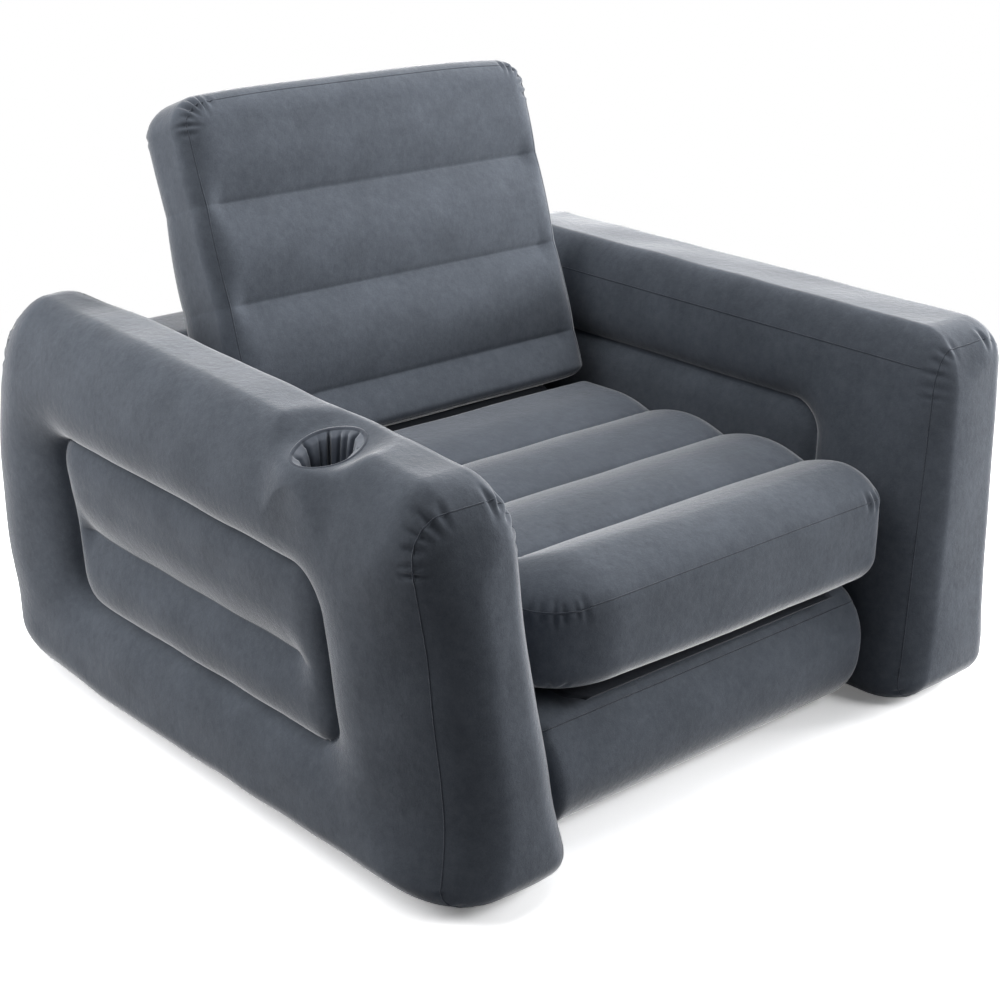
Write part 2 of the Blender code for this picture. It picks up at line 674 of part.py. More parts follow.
def open_ports(arms, bolster, base, base_form, seat, seat_form, back, back_form):
    """The frame's chambers share their air, and so do the two pull-out panels."""
    for side, arm in arms:
        weld = side * (arm_outer(ARM_PORT_HEIGHT) - arm_thickness(ARM_PORT_HEIGHT))
        port = make_port(arm.name + "_port", (weld, ARM_PORT_AHEAD, ARM_PORT_HEIGHT), (1.0, 0.0, 0.0))
        cut(arm, port)
        cut(bolster, port)
    rear = make_port("base_port", (0.0, base_form.high.y, BASE_HEIGHT / 2), (0.0, 1.0, 0.0))
    cut(base, rear)
    cut(bolster, rear)
    seat_middle = (seat_form.low.z + seat_form.high.z) / 2
    cut(seat, make_port("seat_port", (SEAT_PORT_SIDE, seat_form.high.y, seat_middle), (0.0, 1.0, 0.0),
                        seat.parent))
    back_middle = (back_form.low.z + back_form.high.z) / 2
    cut(back, make_port("backrest_port", (SEAT_PORT_SIDE, back_form.low.y, back_middle), (0.0, 1.0, 0.0),
                        back.parent))


# Valves

def make_valve(name, chamber_piece, seat):
    """A welded valve: body, screw-in insert, check flap and hinged cap. seat is an empty on the skin,
    with Z pointing out of the chamber."""
    ledge = VALVE_BORE_RADIUS - VALVE_LEDGE_WIDTH
    body_profile = [(VALVE_BORE_RADIUS, VALVE_FLANGE_HEIGHT), (VALVE_FLANGE_RADIUS, VALVE_FLANGE_HEIGHT),
                    (VALVE_FLANGE_RADIUS, 0.0), (VALVE_NECK_RADIUS, 0.0),
                    (VALVE_NECK_RADIUS, -VALVE_NECK_DEPTH), (ledge, -VALVE_NECK_DEPTH),
                    (ledge, VALVE_LEDGE_HEIGHT - VALVE_NECK_DEPTH),
                    (VALVE_BORE_RADIUS, VALVE_LEDGE_HEIGHT - VALVE_NECK_DEPTH)]
    turned(name + "_body", body_profile, VALVE_SIDES, VALVE_RUBBER, seat)

    hole = VALVE_NECK_RADIUS + TOUCH_GAP
    cutter = turned(name + "_hole", [(0.0, -VALVE_NECK_DEPTH), (hole, -VALVE_NECK_DEPTH),
                                     (hole, VALVE_NECK_DEPTH), (0.0, VALVE_NECK_DEPTH)],
                    VALVE_SIDES, VALVE_RUBBER, seat)
    cut(chamber_piece, cutter)

    turn = empty(name + "_insert_turn", (0.0, 0.0, VALVE_FLANGE_HEIGHT + TOUCH_GAP), parent=seat)
    outer = VALVE_BORE_RADIUS - TOUCH_GAP
    floor = -INSERT_DEPTH
    bore_wall = INSERT_BORE_RADIUS + INSERT_WALL
    insert_profile = [(INSERT_BORE_RADIUS, INSERT_RIM_HEIGHT), (INSERT_RIM_RADIUS, INSERT_RIM_HEIGHT),
                      (INSERT_RIM_RADIUS, 0.0), (outer, 0.0), (outer, floor), (outer - INSERT_WALL, floor),
                      (outer - INSERT_WALL, -INSERT_WALL), (bore_wall, -INSERT_WALL), (bore_wall, floor / 2),
                      (INSERT_BORE_RADIUS, floor / 2)]
    turned(name + "_insert", insert_profile, VALVE_SIDES, INSERT_PLASTIC, turn)

    flap_top = floor / 2 - TOUCH_GAP
    turned(name + "_flap", [(0.0, flap_top - FLAP_THICKNESS), (FLAP_RADIUS, flap_top - FLAP_THICKNESS),
                            (FLAP_RADIUS, flap_top), (0.0, flap_top)],
           VALVE_SIDES, FLAP_FILM, turn)

    mouth = INSERT_RIM_HEIGHT + TOUCH_GAP
    hinge = empty(name + "_cap_hinge", (0.0, CAP_HINGE_REACH, mouth + CAP_HEIGHT / 2), parent=turn)
    make_cap(name + "_cap", hinge)


def make_cap(name, hinge):
    """Cap and strap in one, in the hinge's frame: the cap lies towards -Y from its hinge."""
    centre = Vector((0.0, -CAP_HINGE_REACH, -CAP_HEIGHT / 2))
    profile = [(0.0, -CAP_PLUG_DEPTH), (CAP_PLUG_RADIUS, -CAP_PLUG_DEPTH), (CAP_PLUG_RADIUS, 0.0),
               (CAP_RADIUS, 0.0), (CAP_RADIUS, CAP_HEIGHT), (0.0, CAP_HEIGHT)]
    cap = turned(name, profile, VALVE_SIDES, CAP_RUBBER, hinge, centre)
    inner = CAP_RADIUS - CAP_HINGE_REACH - CAP_STRAP_OVERLAP
    strap = plate(name + "_strap_form",
                  [Vector((-CAP_STRAP_HALF_WIDTH, y, 0.0)) for y in (inner, 0.0)],
                  [Vector((CAP_STRAP_HALF_WIDTH, y, 0.0)) for y in (inner, 0.0)],
                  Vector((0.0, 0.0, CAP_STRAP_THICKNESS)), CAP_RUBBER, hinge)
    strap.hide_render = True
    strap.display_type = "WIRE"
    join = cap.modifiers.new("strap", "BOOLEAN")
    join.operation = "UNION"
    join.solver = "EXACT"
    join.object = strap


def frame_valve_seat():
    """An empty on the bolster's rear skin, which leans in from its foot to its crease."""
    lean = math.atan2(BOLSTER_CREASE_DEPTH, BOLSTER_CREASE_HEIGHT - BOLSTER_RADIUS)
    inward = (FRAME_VALVE_HEIGHT - BOLSTER_RADIUS) * math.tan(lean)
    place = (FRAME_VALVE_SIDE, BOLSTER_BACK - inward + TOUCH_GAP, FRAME_VALVE_HEIGHT)
    return empty("frame_valve_seat", place, lean - QUARTER_TURN)


def back_valve_seat(back, parent):
    """An empty on the backrest's rear skin, in the flat part of its top channel."""
    crest = back.creases[-1] + back.pitch / 2
    middle = (crest + back.high.y - back.radii[1][1]) / 2
    reach = back.high.x - back.radii[0][1]
    inner = back.shape(Vector((0.0, crest, back.low.z)), Vector((0.0, crest, back.low.z)))
    outer = back.shape(Vector((reach, crest, back.low.z)), Vector((reach, crest, back.low.z)))
    share = BACK_VALVE_SIDE / reach
    tilt = math.atan2(outer.z - inner.z, reach)
    height = inner.z + share * (outer.z - inner.z)
    seat = empty("pullout_valve_seat", (BACK_VALVE_SIDE, middle, height - TOUCH_GAP), parent=parent)
    seat.rotation_euler = (Matrix.Rotation(-tilt, 3, "Y") @ Matrix.Rotation(HALF_TURN, 3, "X")).to_euler()
    return seat


def main():
    clear_scene()
    left_arm = make_arm("left_arm", -1.0)
    right_arm = make_arm("right_arm", 1.0)
    make_arm_webs("left_arm", -1.0)
    make_arm_webs("right_arm", 1.0)
    bolster = make_bolster()
    make_bolster_web()

    base = base_panel_form()
    base_mattress = base.build("base_mattress")
    for number, crease in enumerate(base.creases, 1):
        base.web(f"base_web_{number}", crease)

    seat = seat_panel_form()
    seat_hinge = empty("seat_hinge", (0.0, SEAT_HINGE_Y, SEAT_HINGE_Z))
    seat_panel = seat.build("seat_panel", seat_hinge)
    for number, crease in enumerate(seat.creases, 1):
        seat.web(f"seat_web_{number}", crease, seat_hinge)

    back = back_panel_form()
    back_hinge = empty("backrest_hinge", (0.0, BACK_HINGE_Y, BACK_HINGE_Z), QUARTER_TURN - BACK_LEAN)
    back_panel = back.build("backrest_panel", back_hinge)
    for number, crease in enumerate(back.creases, 1):
        back.web(f"backrest_web_{number}", crease, back_hinge)

    open_ports(((-1.0, left_arm), (1.0, right_arm)), bolster, base_mattress, base, seat_panel, seat,
               back_panel, back)
    make_front_hinge_web(base)
    make_rear_hinge_web()
    make_cup_holder(left_arm)

    make_valve("frame_valve", bolster, frame_valve_seat())
    make_valve("pullout_valve", back_panel, back_valve_seat(back, back_hinge))


main()
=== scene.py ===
"""Looks of the inflatable chair bed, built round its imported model. Metres, +Z up, front towards -Y.
Every air chamber is a fine closed skin on the sizes of the part: crowned channels between welded
creases, sunken arm panels, weld seams, and short puckers where the seams turn."""

import math

import bpy
import numpy as np
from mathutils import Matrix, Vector
from mathutils.bvhtree import BVHTree


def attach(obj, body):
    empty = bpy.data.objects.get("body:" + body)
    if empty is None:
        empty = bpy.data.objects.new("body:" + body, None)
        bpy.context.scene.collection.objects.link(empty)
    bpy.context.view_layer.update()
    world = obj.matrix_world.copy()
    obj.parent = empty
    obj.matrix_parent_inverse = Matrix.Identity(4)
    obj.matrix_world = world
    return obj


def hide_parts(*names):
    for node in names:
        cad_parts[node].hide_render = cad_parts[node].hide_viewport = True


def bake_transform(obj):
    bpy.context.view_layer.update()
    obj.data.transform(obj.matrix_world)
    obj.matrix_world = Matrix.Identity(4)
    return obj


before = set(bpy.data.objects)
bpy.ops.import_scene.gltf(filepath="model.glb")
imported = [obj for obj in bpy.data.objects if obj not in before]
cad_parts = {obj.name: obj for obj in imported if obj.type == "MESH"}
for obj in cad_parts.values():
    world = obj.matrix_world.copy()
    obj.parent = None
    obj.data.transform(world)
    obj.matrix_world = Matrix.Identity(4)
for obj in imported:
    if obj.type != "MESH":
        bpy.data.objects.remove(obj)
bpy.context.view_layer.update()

# Sizes shared with the part
ARM_OUTER = 0.595
ARM_HALF_DEPTH = 0.56
ARM_REAR_HEIGHT = 0.622
ARM_FRONT_HEIGHT = 0.575
ARM_FOOT_THICKNESS = 0.240
ARM_TOP_THICKNESS = 0.172
ARM_FLARE = 0.024
ARM_FRONT_LEAN, ARM_REAR_LEAN = 0.035, 0.034
RECESS_FRONT, RECESS_REAR = -0.309, 0.350
RECESS_LOW, RECESS_HIGH, RECESS_CREASE = 0.171, 0.435, 0.290
RECESS_DEPTH, RECESS_BULGE = 0.043, 0.026
BASE_FRONT, BASE_HEIGHT = -0.488, 0.200
BOLSTER_BACK, BOLSTER_HEIGHT = 0.548, 0.540
BOLSTER_FOOT_THICKNESS, BOLSTER_TOP_THICKNESS = 0.25, 0.203
BOLSTER_CREASE_HEIGHT, BOLSTER_CREASE_DEPTH, BOLSTER_CREASE_REACH = 0.27, 0.016, 0.20
SEAT_BOTTOM, SEAT_TOP = 0.202, 0.395
SEAT_FRONT_CHANNEL = 0.148
BACK_LEAN = math.radians(18.8)
BACK_HINGE = Vector((0.0, 0.139469, 0.395))
SEAT_HINGE_Y, SEAT_HINGE_Z = -0.506, 0.1978
FOLD_GAP = 0.0015
WALL_GAP = 0.0006
CUP_PLACE = (-0.524, -0.276)
CUP_LEVEL = 0.568


# Meshes

def ruled(low, high, marks, fine, coarse, growth=0.22):
    """Grid places from low to high through every mark: close together at the marks, wider between."""
    stops = sorted({low, high, *[mark for mark in marks if low < mark < high]})
    places = [low]
    for a, b in zip(stops, stops[1:]):
        half, steps = (b - a) / 2, [0.0]
        while steps[-1] < half:
            steps.append(steps[-1] + min(coarse, fine + growth * steps[-1]))
        steps = np.array(steps) * half / steps[-1]
        places += list(a + steps[1:]) + list(b - steps[-2::-1])
    return np.array(places)


def edge_marks(low, high, radii, axis, *others):
    """Where the rounded edges of a box end and half-way along them: its grid is finer there."""
    before, after = radii[axis]
    return (low[axis] + before / 2, low[axis] + before, high[axis] - after, high[axis] - after / 2, *others)


def lattice(lines):
    """The surface of a box grid: its unique points, and its quads with outward normals."""
    sizes = [len(line) for line in lines]
    inside = np.ones(sizes, bool)
    inside[1:-1, 1:-1, 1:-1] = False
    index = -np.ones(sizes, int)
    index[inside] = np.arange(inside.sum())
    points = np.stack(np.meshgrid(*lines, indexing="ij"), -1)[inside]
    quads = []
    for axis in range(3):
        for side in (0, sizes[axis] - 1):
            sheet = np.take(index, side, axis=axis)
            corners = [sheet[:-1, :-1], sheet[1:, :-1], sheet[1:, 1:], sheet[:-1, 1:]]
            if (side == 0) != (axis == 1):
                corners.reverse()
            quads.append(np.stack(corners, -1).reshape(-1, 4))
    return points, np.concatenate(quads)


def rounded(flat, low, high, radii):
    """Points of a box's surface moved onto the box with rounded edges; radii as (low, high) pairs,
    for the whole box or for each point."""
    low, high = np.array(low), np.array(high)
    radii = np.broadcast_to(np.array(radii), (len(flat), 3, 2))
    core = np.clip(flat, low + radii[:, :, 0], high - radii[:, :, 1])
    radius = np.where(flat < core, radii[:, :, 0], radii[:, :, 1])
    away = (flat - core) / radius
    away /= np.linalg.norm(away, axis=1)[:, None]
    return core + away * radius


def vertex_normals(points, quads):
    """Unit normals of the points of a quad mesh."""
    a, b, c, d = (points[quads[:, k]] for k in range(4))
    across = np.cross(c - a, d - b)
    normals = np.zeros_like(points)
    for k in range(4):
        np.add.at(normals, quads[:, k], across)
    return normals / np.maximum(np.linalg.norm(normals, axis=1), 1e-12)[:, None]


def mesh_object(name, points, faces, material, tone=None):
    """A smooth-shaded object from arrays."""
    data = bpy.data.meshes.new(name)
    data.from_pydata(points.tolist(), [], [list(face) for face in np.asarray(faces).tolist()]
                     if isinstance(faces, np.ndarray) else faces)
    data.update()
    data.shade_smooth()
    # tone carries the painted fold shade and highlight that the flock material reads
    if tone is not None:
        layer = data.attributes.new("tone", "FLOAT", "POINT")
        layer.data.foreach_set("value", np.asarray(tone, np.float32))
    data.materials.append(material)
    made = bpy.data.objects.new(name, data)
    bpy.context.scene.collection.objects.link(made)
    return made


def smooth_step(value):
    value = np.clip(value, 0.0, 1.0)
    return value * value * (3.0 - 2.0 * value)


def ripples(points, seed, amount, size):
    """Soft irregular swells, from a few seeded waves."""
    draw = np.random.default_rng(seed)
    total = np.zeros(len(points))
    for _ in range(9):
        direction = draw.normal(size=3)
        direction /= np.linalg.norm(direction)
        wave = 2.0 * math.pi / (size * draw.uniform(0.6, 1.7))
        total += np.sin(points @ direction * wave + draw.uniform(0.0, 6.28)) * draw.uniform(0.5, 1.0)
    return amount * total / 3.0


def pinch(points, normals, folds):
    """Press short folds into a surface. Each is (centre, direction, length, width, depth): a narrow
    valley with a low ridge on both sides, deepest at its centre."""
    shade = np.zeros(len(points))
    shift = np.zeros_like(points)
    for centre, along, length, width, depth in folds:
        rel = points - centre
        near = np.einsum("ij,ij->i", rel, rel) < (length + 4.0 * width) ** 2
        if not near.any():
            continue
        rel = rel[near]
        normal = normals[near].mean(0)
        normal /= np.linalg.norm(normal)
        along = along - normal * (along @ normal)
        along /= np.linalg.norm(along)
        across = np.cross(normal, along)
        u = np.clip(np.abs(rel @ along) / length, 0.0, 1.0)
        v = rel @ across / width
        profile = (1.0 - v ** 2) * np.exp(-v ** 2 / 2.0) * (1.0 - u ** 2) ** 2
        shift[near] -= normals[near] * (depth * profile)[:, None]
        # shade: how deep each point lies in a fold, later painted as shade in the flock's colour
        shade[near] += profile
    return points + shift, shade


def round_outline(low, high, radii, axis, side, step, tilt=0.7071):
    """The weld line round one face of a rounded box, where its surface has turned half-way to the
    walls: points, directions along it, and whether it turns there."""
    radii = np.array(radii)
    low, high = np.array(low), np.array(high)
    core_low, core_high = low + radii[:, 0], high - radii[:, 1]
    u, v = [k for k in range(3) if k != axis]
    rest = math.sqrt(1.0 - tilt * tilt)
    points, turning = [], []
    for su, sv, start in ((1, 1, 0.0), (-1, 1, 90.0), (-1, -1, 180.0), (1, -1, 270.0)):
        radius = [radii[k][0 if s < 0 else 1] for k, s in ((u, su), (v, sv))]
        count = max(4, int(round(math.pi / 2 * max(radius) / step)))
        for angle in np.radians(start + np.linspace(0.0, 90.0, count + 1)):
            place = np.zeros(3)
            place[u] = (core_high if su > 0 else core_low)[u] + math.cos(angle) * tilt * radius[0]
            place[v] = (core_high if sv > 0 else core_low)[v] + math.sin(angle) * tilt * radius[1]
            edge = radii[axis][0 if side < 0 else 1]
            place[axis] = (core_high if side > 0 else core_low)[axis] + side * rest * edge
            points.append(place)
            turning.append(True)
        turning[-1] = False
    loop = [np.array(points[0])]
    turns = [turning[0]]
    for place, last, turn in zip(points[1:] + points[:1], points, turning[1:] + turning[:1]):
        gap = np.linalg.norm(place - last)
        parts = max(1, int(round(gap / step)))
        for k in range(1, parts + 1):
            loop.append(last + (place - last) * k / parts)
            turns.append(turn if parts == 1 else False)
    return np.array(loop[:-1]), np.array(turns[:-1])


def seam_bead(name, chamber, path, closed, body, material, width=0.0012, height=0.0005, sides=6):
    """A thin weld ridge that follows a path over a chamber's surface."""
    tree = BVHTree.FromObject(chamber, bpy.context.evaluated_depsgraph_get())
    places, normals = [], []
    for point in path:
        spot, normal, _, _ = tree.find_nearest(Vector(point))
        if places and np.linalg.norm(np.array(spot) - places[-1]) < 0.0004:
            continue
        places.append(np.array(spot))
        normals.append(np.array(normal))
    places, normals = np.array(places), np.array(normals)
    if closed:
        ahead = np.roll(places, -1, 0) - np.roll(places, 1, 0)
        normals = (np.roll(normals, 1, 0) + normals + np.roll(normals, -1, 0)) / 3
    else:
        ahead = np.gradient(places, axis=0)
    ahead /= np.linalg.norm(ahead, axis=1)[:, None]
    normals /= np.linalg.norm(normals, axis=1)[:, None]
    across = np.cross(normals, ahead)
    across /= np.linalg.norm(across, axis=1)[:, None]
    turns = np.linspace(0.0, 2.0 * math.pi, sides, endpoint=False)
    taper = np.ones(len(places))
    if not closed:
        ends = np.arange(len(places))
        taper = np.minimum(1.0, (np.minimum(ends, len(places) - 1 - ends) + 0.3) / 6.0)
    rings = [places + (across * math.cos(turn) * width + normals * math.sin(turn) * height)
             * taper[:, None] for turn in turns]
    count = len(places)
    points = np.stack(rings, 1).reshape(-1, 3)
    quads = []
    for k in range(count if closed else count - 1):
        for s in range(sides):
            a, b = k * sides + s, k * sides + (s + 1) % sides
            c, d = ((k + 1) % count) * sides + (s + 1) % sides, ((k + 1) % count) * sides + s
            quads.append([a, b, c, d])
    if not closed:
        quads.append(list(range(sides)))
        quads.append(list(range((count - 1) * sides, count * sides))[::-1])
    made = mesh_object(name, points, quads, material)
    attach(made, body)
    return made


# Materials

def shader_of(name):
    made = bpy.data.materials.new(name)
    made.use_nodes = True
    tree = made.node_tree
    return made, tree, tree.nodes["Principled BSDF"]


def add(tree, kind, **values):
    node = tree.nodes.new(kind)
    for key, value in values.items():
        if hasattr(node, key):
            setattr(node, key, value)
        else:
            node.inputs[key.replace("_", " ")].default_value = value
    return node


def noise(tree, vector, scale, detail=3.0, roughness=0.55):
    node = tree.nodes.new("ShaderNodeTexNoise")
    node.inputs["Scale"].default_value = scale
    node.inputs["Detail"].default_value = detail
    node.inputs["Roughness"].default_value = roughness
    tree.links.new(vector, node.inputs["Vector"])
    return node.outputs["Fac"]


def ramp(tree, factor, stops):
    node = tree.nodes.new("ShaderNodeValToRGB")
    while len(node.color_ramp.elements) < len(stops):
        node.color_ramp.elements.new(0.5)
    for element, (place, colour) in zip(node.color_ramp.elements, stops):
        element.position = place
        element.color = (*colour, 1.0)
    tree.links.new(factor, node.inputs["Fac"])
    return node.outputs["Color"]


def mix(tree, kind, factor, a, b):
    node = tree.nodes.new("ShaderNodeMix")
    node.data_type = "RGBA"
    node.blend_type = kind
    node.inputs["Factor"].default_value = factor
    for value, socket in ((a, node.inputs[6]), (b, node.inputs[7])):
        if isinstance(value, tuple):
            socket.default_value = (*value, 1.0)
        else:
            tree.links.new(value, socket)
    return node.outputs[2]


def bump(tree, height, strength, distance, before=None):
    node = tree.nodes.new("ShaderNodeBump")
    node.inputs["Strength"].default_value = strength
    node.inputs["Distance"].default_value = distance
    tree.links.new(height, node.inputs["Height"])
    if before is not None:
        tree.links.new(before, node.inputs["Normal"])
    return node.outputs["Normal"]


def flocked_vinyl(name, colour, sheen=1.0):
    """Short velvety pile on vinyl: cloudy shading, fine specks, painted shade in folds, a soft sheen at grazing
    angles.
    """
    made, tree, shader = shader_of(name)
    place = tree.nodes.new("ShaderNodeTexCoord").outputs["Object"]
    clouds = noise(tree, place, 14.0, 4.0, 0.6)
    mottle = noise(tree, place, 75.0, 5.0, 0.68)
    specks = noise(tree, place, 520.0, 2.0, 0.7)
    dark = tuple(c * 0.90 for c in colour)
    light = tuple(c * 1.10 for c in colour)
    base = ramp(tree, clouds, ((0.30, dark), (0.70, light)))
    grey = ramp(tree, mottle, ((0.30, (0.84, 0.84, 0.85)), (0.70, (1.06, 1.06, 1.05))))
    fine = ramp(tree, specks, ((0.30, (0.86, 0.86, 0.86)), (0.70, (1.0, 1.0, 1.0))))
    base = mix(tree, "MULTIPLY", 1.0, base, grey)
    base = mix(tree, "MULTIPLY", 1.0, base, fine)
    # Painted shade and highlight: the tone attribute darkens the colour in the folds' valleys and lightens it on their
    # ridges.
    painted_fold_shade = tree.nodes.new("ShaderNodeAttribute")
    painted_fold_shade.attribute_name = "tone"
    painted_fold_shading = ramp(tree, painted_fold_shade.outputs["Fac"], ((0.0, (0.80, 0.80, 0.82)), (0.5, (1.0, 1.0, 1.0)),
                                             (1.0, (1.14, 1.13, 1.12))))
    base = mix(tree, "MULTIPLY", 1.0, base, painted_fold_shading)
    tree.links.new(base, shader.inputs["Base Color"])
    rough = ramp(tree, mottle, ((0.2, (0.80, 0.80, 0.80)), (0.8, (0.96, 0.96, 0.96))))
    tree.links.new(rough, shader.inputs["Roughness"])
    shader.inputs["Specular IOR Level"].default_value = 0.05
    shader.inputs["Sheen Weight"].default_value = sheen
    shader.inputs["Sheen Roughness"].default_value = 0.32
    shader.inputs["Sheen Tint"].default_value = (0.98, 0.985, 1.0, 1.0)
    pile = bump(tree, noise(tree, place, 900.0, 2.0, 0.6), 0.30, 0.0006)
    nap = bump(tree, noise(tree, place, 85.0, 5.0, 0.66), 0.30, 0.0026, pile)
    tree.links.new(nap, shader.inputs["Normal"])
    return made


def smooth_vinyl(name, colour, rough, grain=420.0, sheen=0.0):
    """Bare or moulded vinyl, rubber and plastic: fine grain, slight blotches."""
    made, tree, shader = shader_of(name)
    place = tree.nodes.new("ShaderNodeTexCoord").outputs["Object"]
    blotch = noise(tree, place, 60.0, 4.0, 0.6)
    base = ramp(tree, blotch, ((0.3, tuple(c * 0.86 for c in colour)), (0.7, tuple(c * 1.12 for c in colour))))
    tree.links.new(base, shader.inputs["Base Color"])
    roughness = ramp(tree, noise(tree, place, 190.0, 3.0, 0.6),
                     ((0.25, (rough * 0.85,) * 3), (0.75, (min(1.0, rough * 1.15),) * 3)))
    tree.links.new(roughness, shader.inputs["Roughness"])
    shader.inputs["Specular IOR Level"].default_value = 0.4
    shader.inputs["Sheen Weight"].default_value = sheen
    tree.links.new(bump(tree, noise(tree, place, grain, 3.0, 0.6), 0.18, 0.0005), shader.inputs["Normal"])
    return made


FLOCK_COLOUR = (0.107, 0.121, 0.145)
FLOCK = flocked_vinyl("flocked_vinyl_skin", FLOCK_COLOUR)
SEAM = flocked_vinyl("weld_seam_skin", tuple(c * 0.84 for c in FLOCK_COLOUR), 0.35)
BARE = smooth_vinyl("bare_vinyl_skin", (0.030, 0.034, 0.042), 0.55)
LINER = smooth_vinyl("pocket_vinyl", (0.088, 0.104, 0.134), 0.60, 420.0, 0.4)
WEB = smooth_vinyl("inner_web_vinyl", (0.28, 0.30, 0.32), 0.6)
RUBBER = smooth_vinyl("valve_rubber_skin", (0.040, 0.044, 0.052), 0.55, 700.0)
CAP = smooth_vinyl("cap_rubber_skin", (0.062, 0.068, 0.080), 0.48, 700.0)
PLASTIC = smooth_vinyl("insert_plastic_skin", (0.115, 0.125, 0.140), 0.38, 900.0)
FILM = smooth_vinyl("flap_film_skin", (0.50, 0.51, 0.52), 0.35, 900.0)


# Chambers

class Chamber:
    """A chamber's skin: grid, shape, folds and finish, and the seams laid on it."""

    def __init__(self, name, low, high, radii, lines, place, body, nodes, seed, own_radii=None):
        self.name, self.body = name, body
        self.low, self.high, self.radii = low, high, radii
        self.place = place
        flat, self.quads = lattice(lines)
        self.points = place(rounded(flat, low, high, own_radii(flat) if own_radii else radii), flat)
        self.nodes = nodes
        self.seed = seed
        self.tone = np.full(len(self.points), 0.5)

    def mirrored(self):
        """Turn the quads round after a mirrored shape."""
        self.quads = self.quads[:, ::-1]

    def swell(self, amount, size):
        normals = vertex_normals(self.points, self.quads)
        self.points = self.points + normals * ripples(self.points, self.seed, amount, size)[:, None]

    def fold(self, folds):
        normals = vertex_normals(self.points, self.quads)
        self.points, shade = pinch(self.points, normals, folds)
        # Painted shade: tone goes down in each fold's valley and up on its low ridges, darkening and lightening the
        # flock's colour.
        self.tone -= 0.25 * shade

    def outline(self, axis, side, step=0.006, tilt=0.7071):
        """A weld line round one face, in its final place, and where it turns."""
        loop, turns = round_outline(self.low, self.high, self.radii, axis, side, step, tilt)
        return self.place(loop, loop), turns

    def finish(self, material, fill):
        made = mesh_object(self.name, self.points, self.quads, material, np.clip(self.tone, 0.0, 1.0))
        self.made = made
        return made

    def declare(self, fill, slot="flocked_vinyl"):
        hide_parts(*self.nodes)
        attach(self.made, self.body)


def turn_folds(path, turns, seed, spacing, length, width, depth, keep=None, spill=2):
    """Puckers across a seam where it turns, and a few just past the turns."""
    draw = np.random.default_rng(seed)
    near = turns.copy()
    for _ in range(spill):
        near = near | np.roll(near, 1) | np.roll(near, -1)
    ahead = np.roll(path, -1, 0) - np.roll(path, 1, 0)
    gaps = np.linalg.norm(np.roll(path, -1, 0) - path, axis=1)
    folds, run, target = [], 0.0, 0.0
    for k in range(len(path)):
        if near[k] and run >= target and (keep is None or keep(path[k])):
            along = ahead[k] / np.linalg.norm(ahead[k])
            size = draw.uniform(0.6, 1.15)
            folds.append((path[k] + draw.normal(size=3) * 0.0012, along, length * size, width * draw.uniform(0.8, 1.2),
                          depth * draw.uniform(0.45, 1.1)))
            run, target = 0.0, spacing * draw.uniform(0.7, 1.35)
        run += gaps[k]
    return folds


def across_folds(folds, points, normals):
    """Turn folds given along a seam so that they cross it."""
    turned = []
    for centre, along, length, width, depth in folds:
        nearest = np.argmin(((points - centre) ** 2).sum(1))
        normal = normals[nearest]
        turned.append((centre, np.cross(normal, along), length, width, depth))
    return turned


# Arms

def arm_thickness(height):
    return ARM_FOOT_THICKNESS + height / ARM_REAR_HEIGHT * (ARM_TOP_THICKNESS - ARM_FOOT_THICKNESS)


def arm_outer(height):
    return ARM_OUTER - ARM_FLARE * (1.0 - height / ARM_REAR_HEIGHT)


def room_half_width(height):
    return arm_outer(height) - arm_thickness(height) - WALL_GAP


def leaned(ahead, height):
    """Both ends of an arm lean in above the foot; the front one bows a little."""
    share = np.clip((height - 0.085) / (ARM_REAR_HEIGHT - 0.085), 0.0, 1.0)
    front = np.maximum(0.0, (-0.374 - ahead) / (ARM_HALF_DEPTH - 0.374))
    rear = np.maximum(0.0, (ahead - 0.332) / (ARM_HALF_DEPTH - 0.332))
    return ahead + share * (ARM_FRONT_LEAN * front - ARM_REAR_LEAN * rear * (0.10 + 0.70 * share + 0.95 * share ** 4))


RECESS_CORNER = 0.052
RECESS_RIM_LEVEL, RECESS_RIM_END, RECESS_RIM_REAR = 0.076, 0.100, 0.135
RECESS_PUFF, RECESS_PUFF_REAR = 0.054, 0.075
RECESS_REAR_EXTRA = 0.010
RECESS_SLANT = 0.09


def recess_distance(ahead, height, lift=0.0):
    """Distance to the sunken panel's outline, negative inside, and how much it lies along the depth."""
    ahead = ahead - RECESS_SLANT * (height - 0.30)
    out_y = np.abs(ahead - (RECESS_REAR + RECESS_FRONT) / 2) - (RECESS_REAR - RECESS_FRONT) / 2
    out_z = np.abs(height - (RECESS_HIGH + lift + RECESS_LOW) / 2) - (RECESS_HIGH + lift - RECESS_LOW) / 2
    q_y, q_z = out_y + RECESS_CORNER, out_z + RECESS_CORNER
    beyond_y, beyond_z = np.maximum(q_y, 0.0), np.maximum(q_z, 0.0)
    away = np.hypot(beyond_y, beyond_z) + np.minimum(np.maximum(q_y, q_z), 0.0) - RECESS_CORNER
    lengthwise = beyond_y ** 2 / np.maximum(beyond_y ** 2 + beyond_z ** 2, 1e-9)
    return away, lengthwise, -out_y


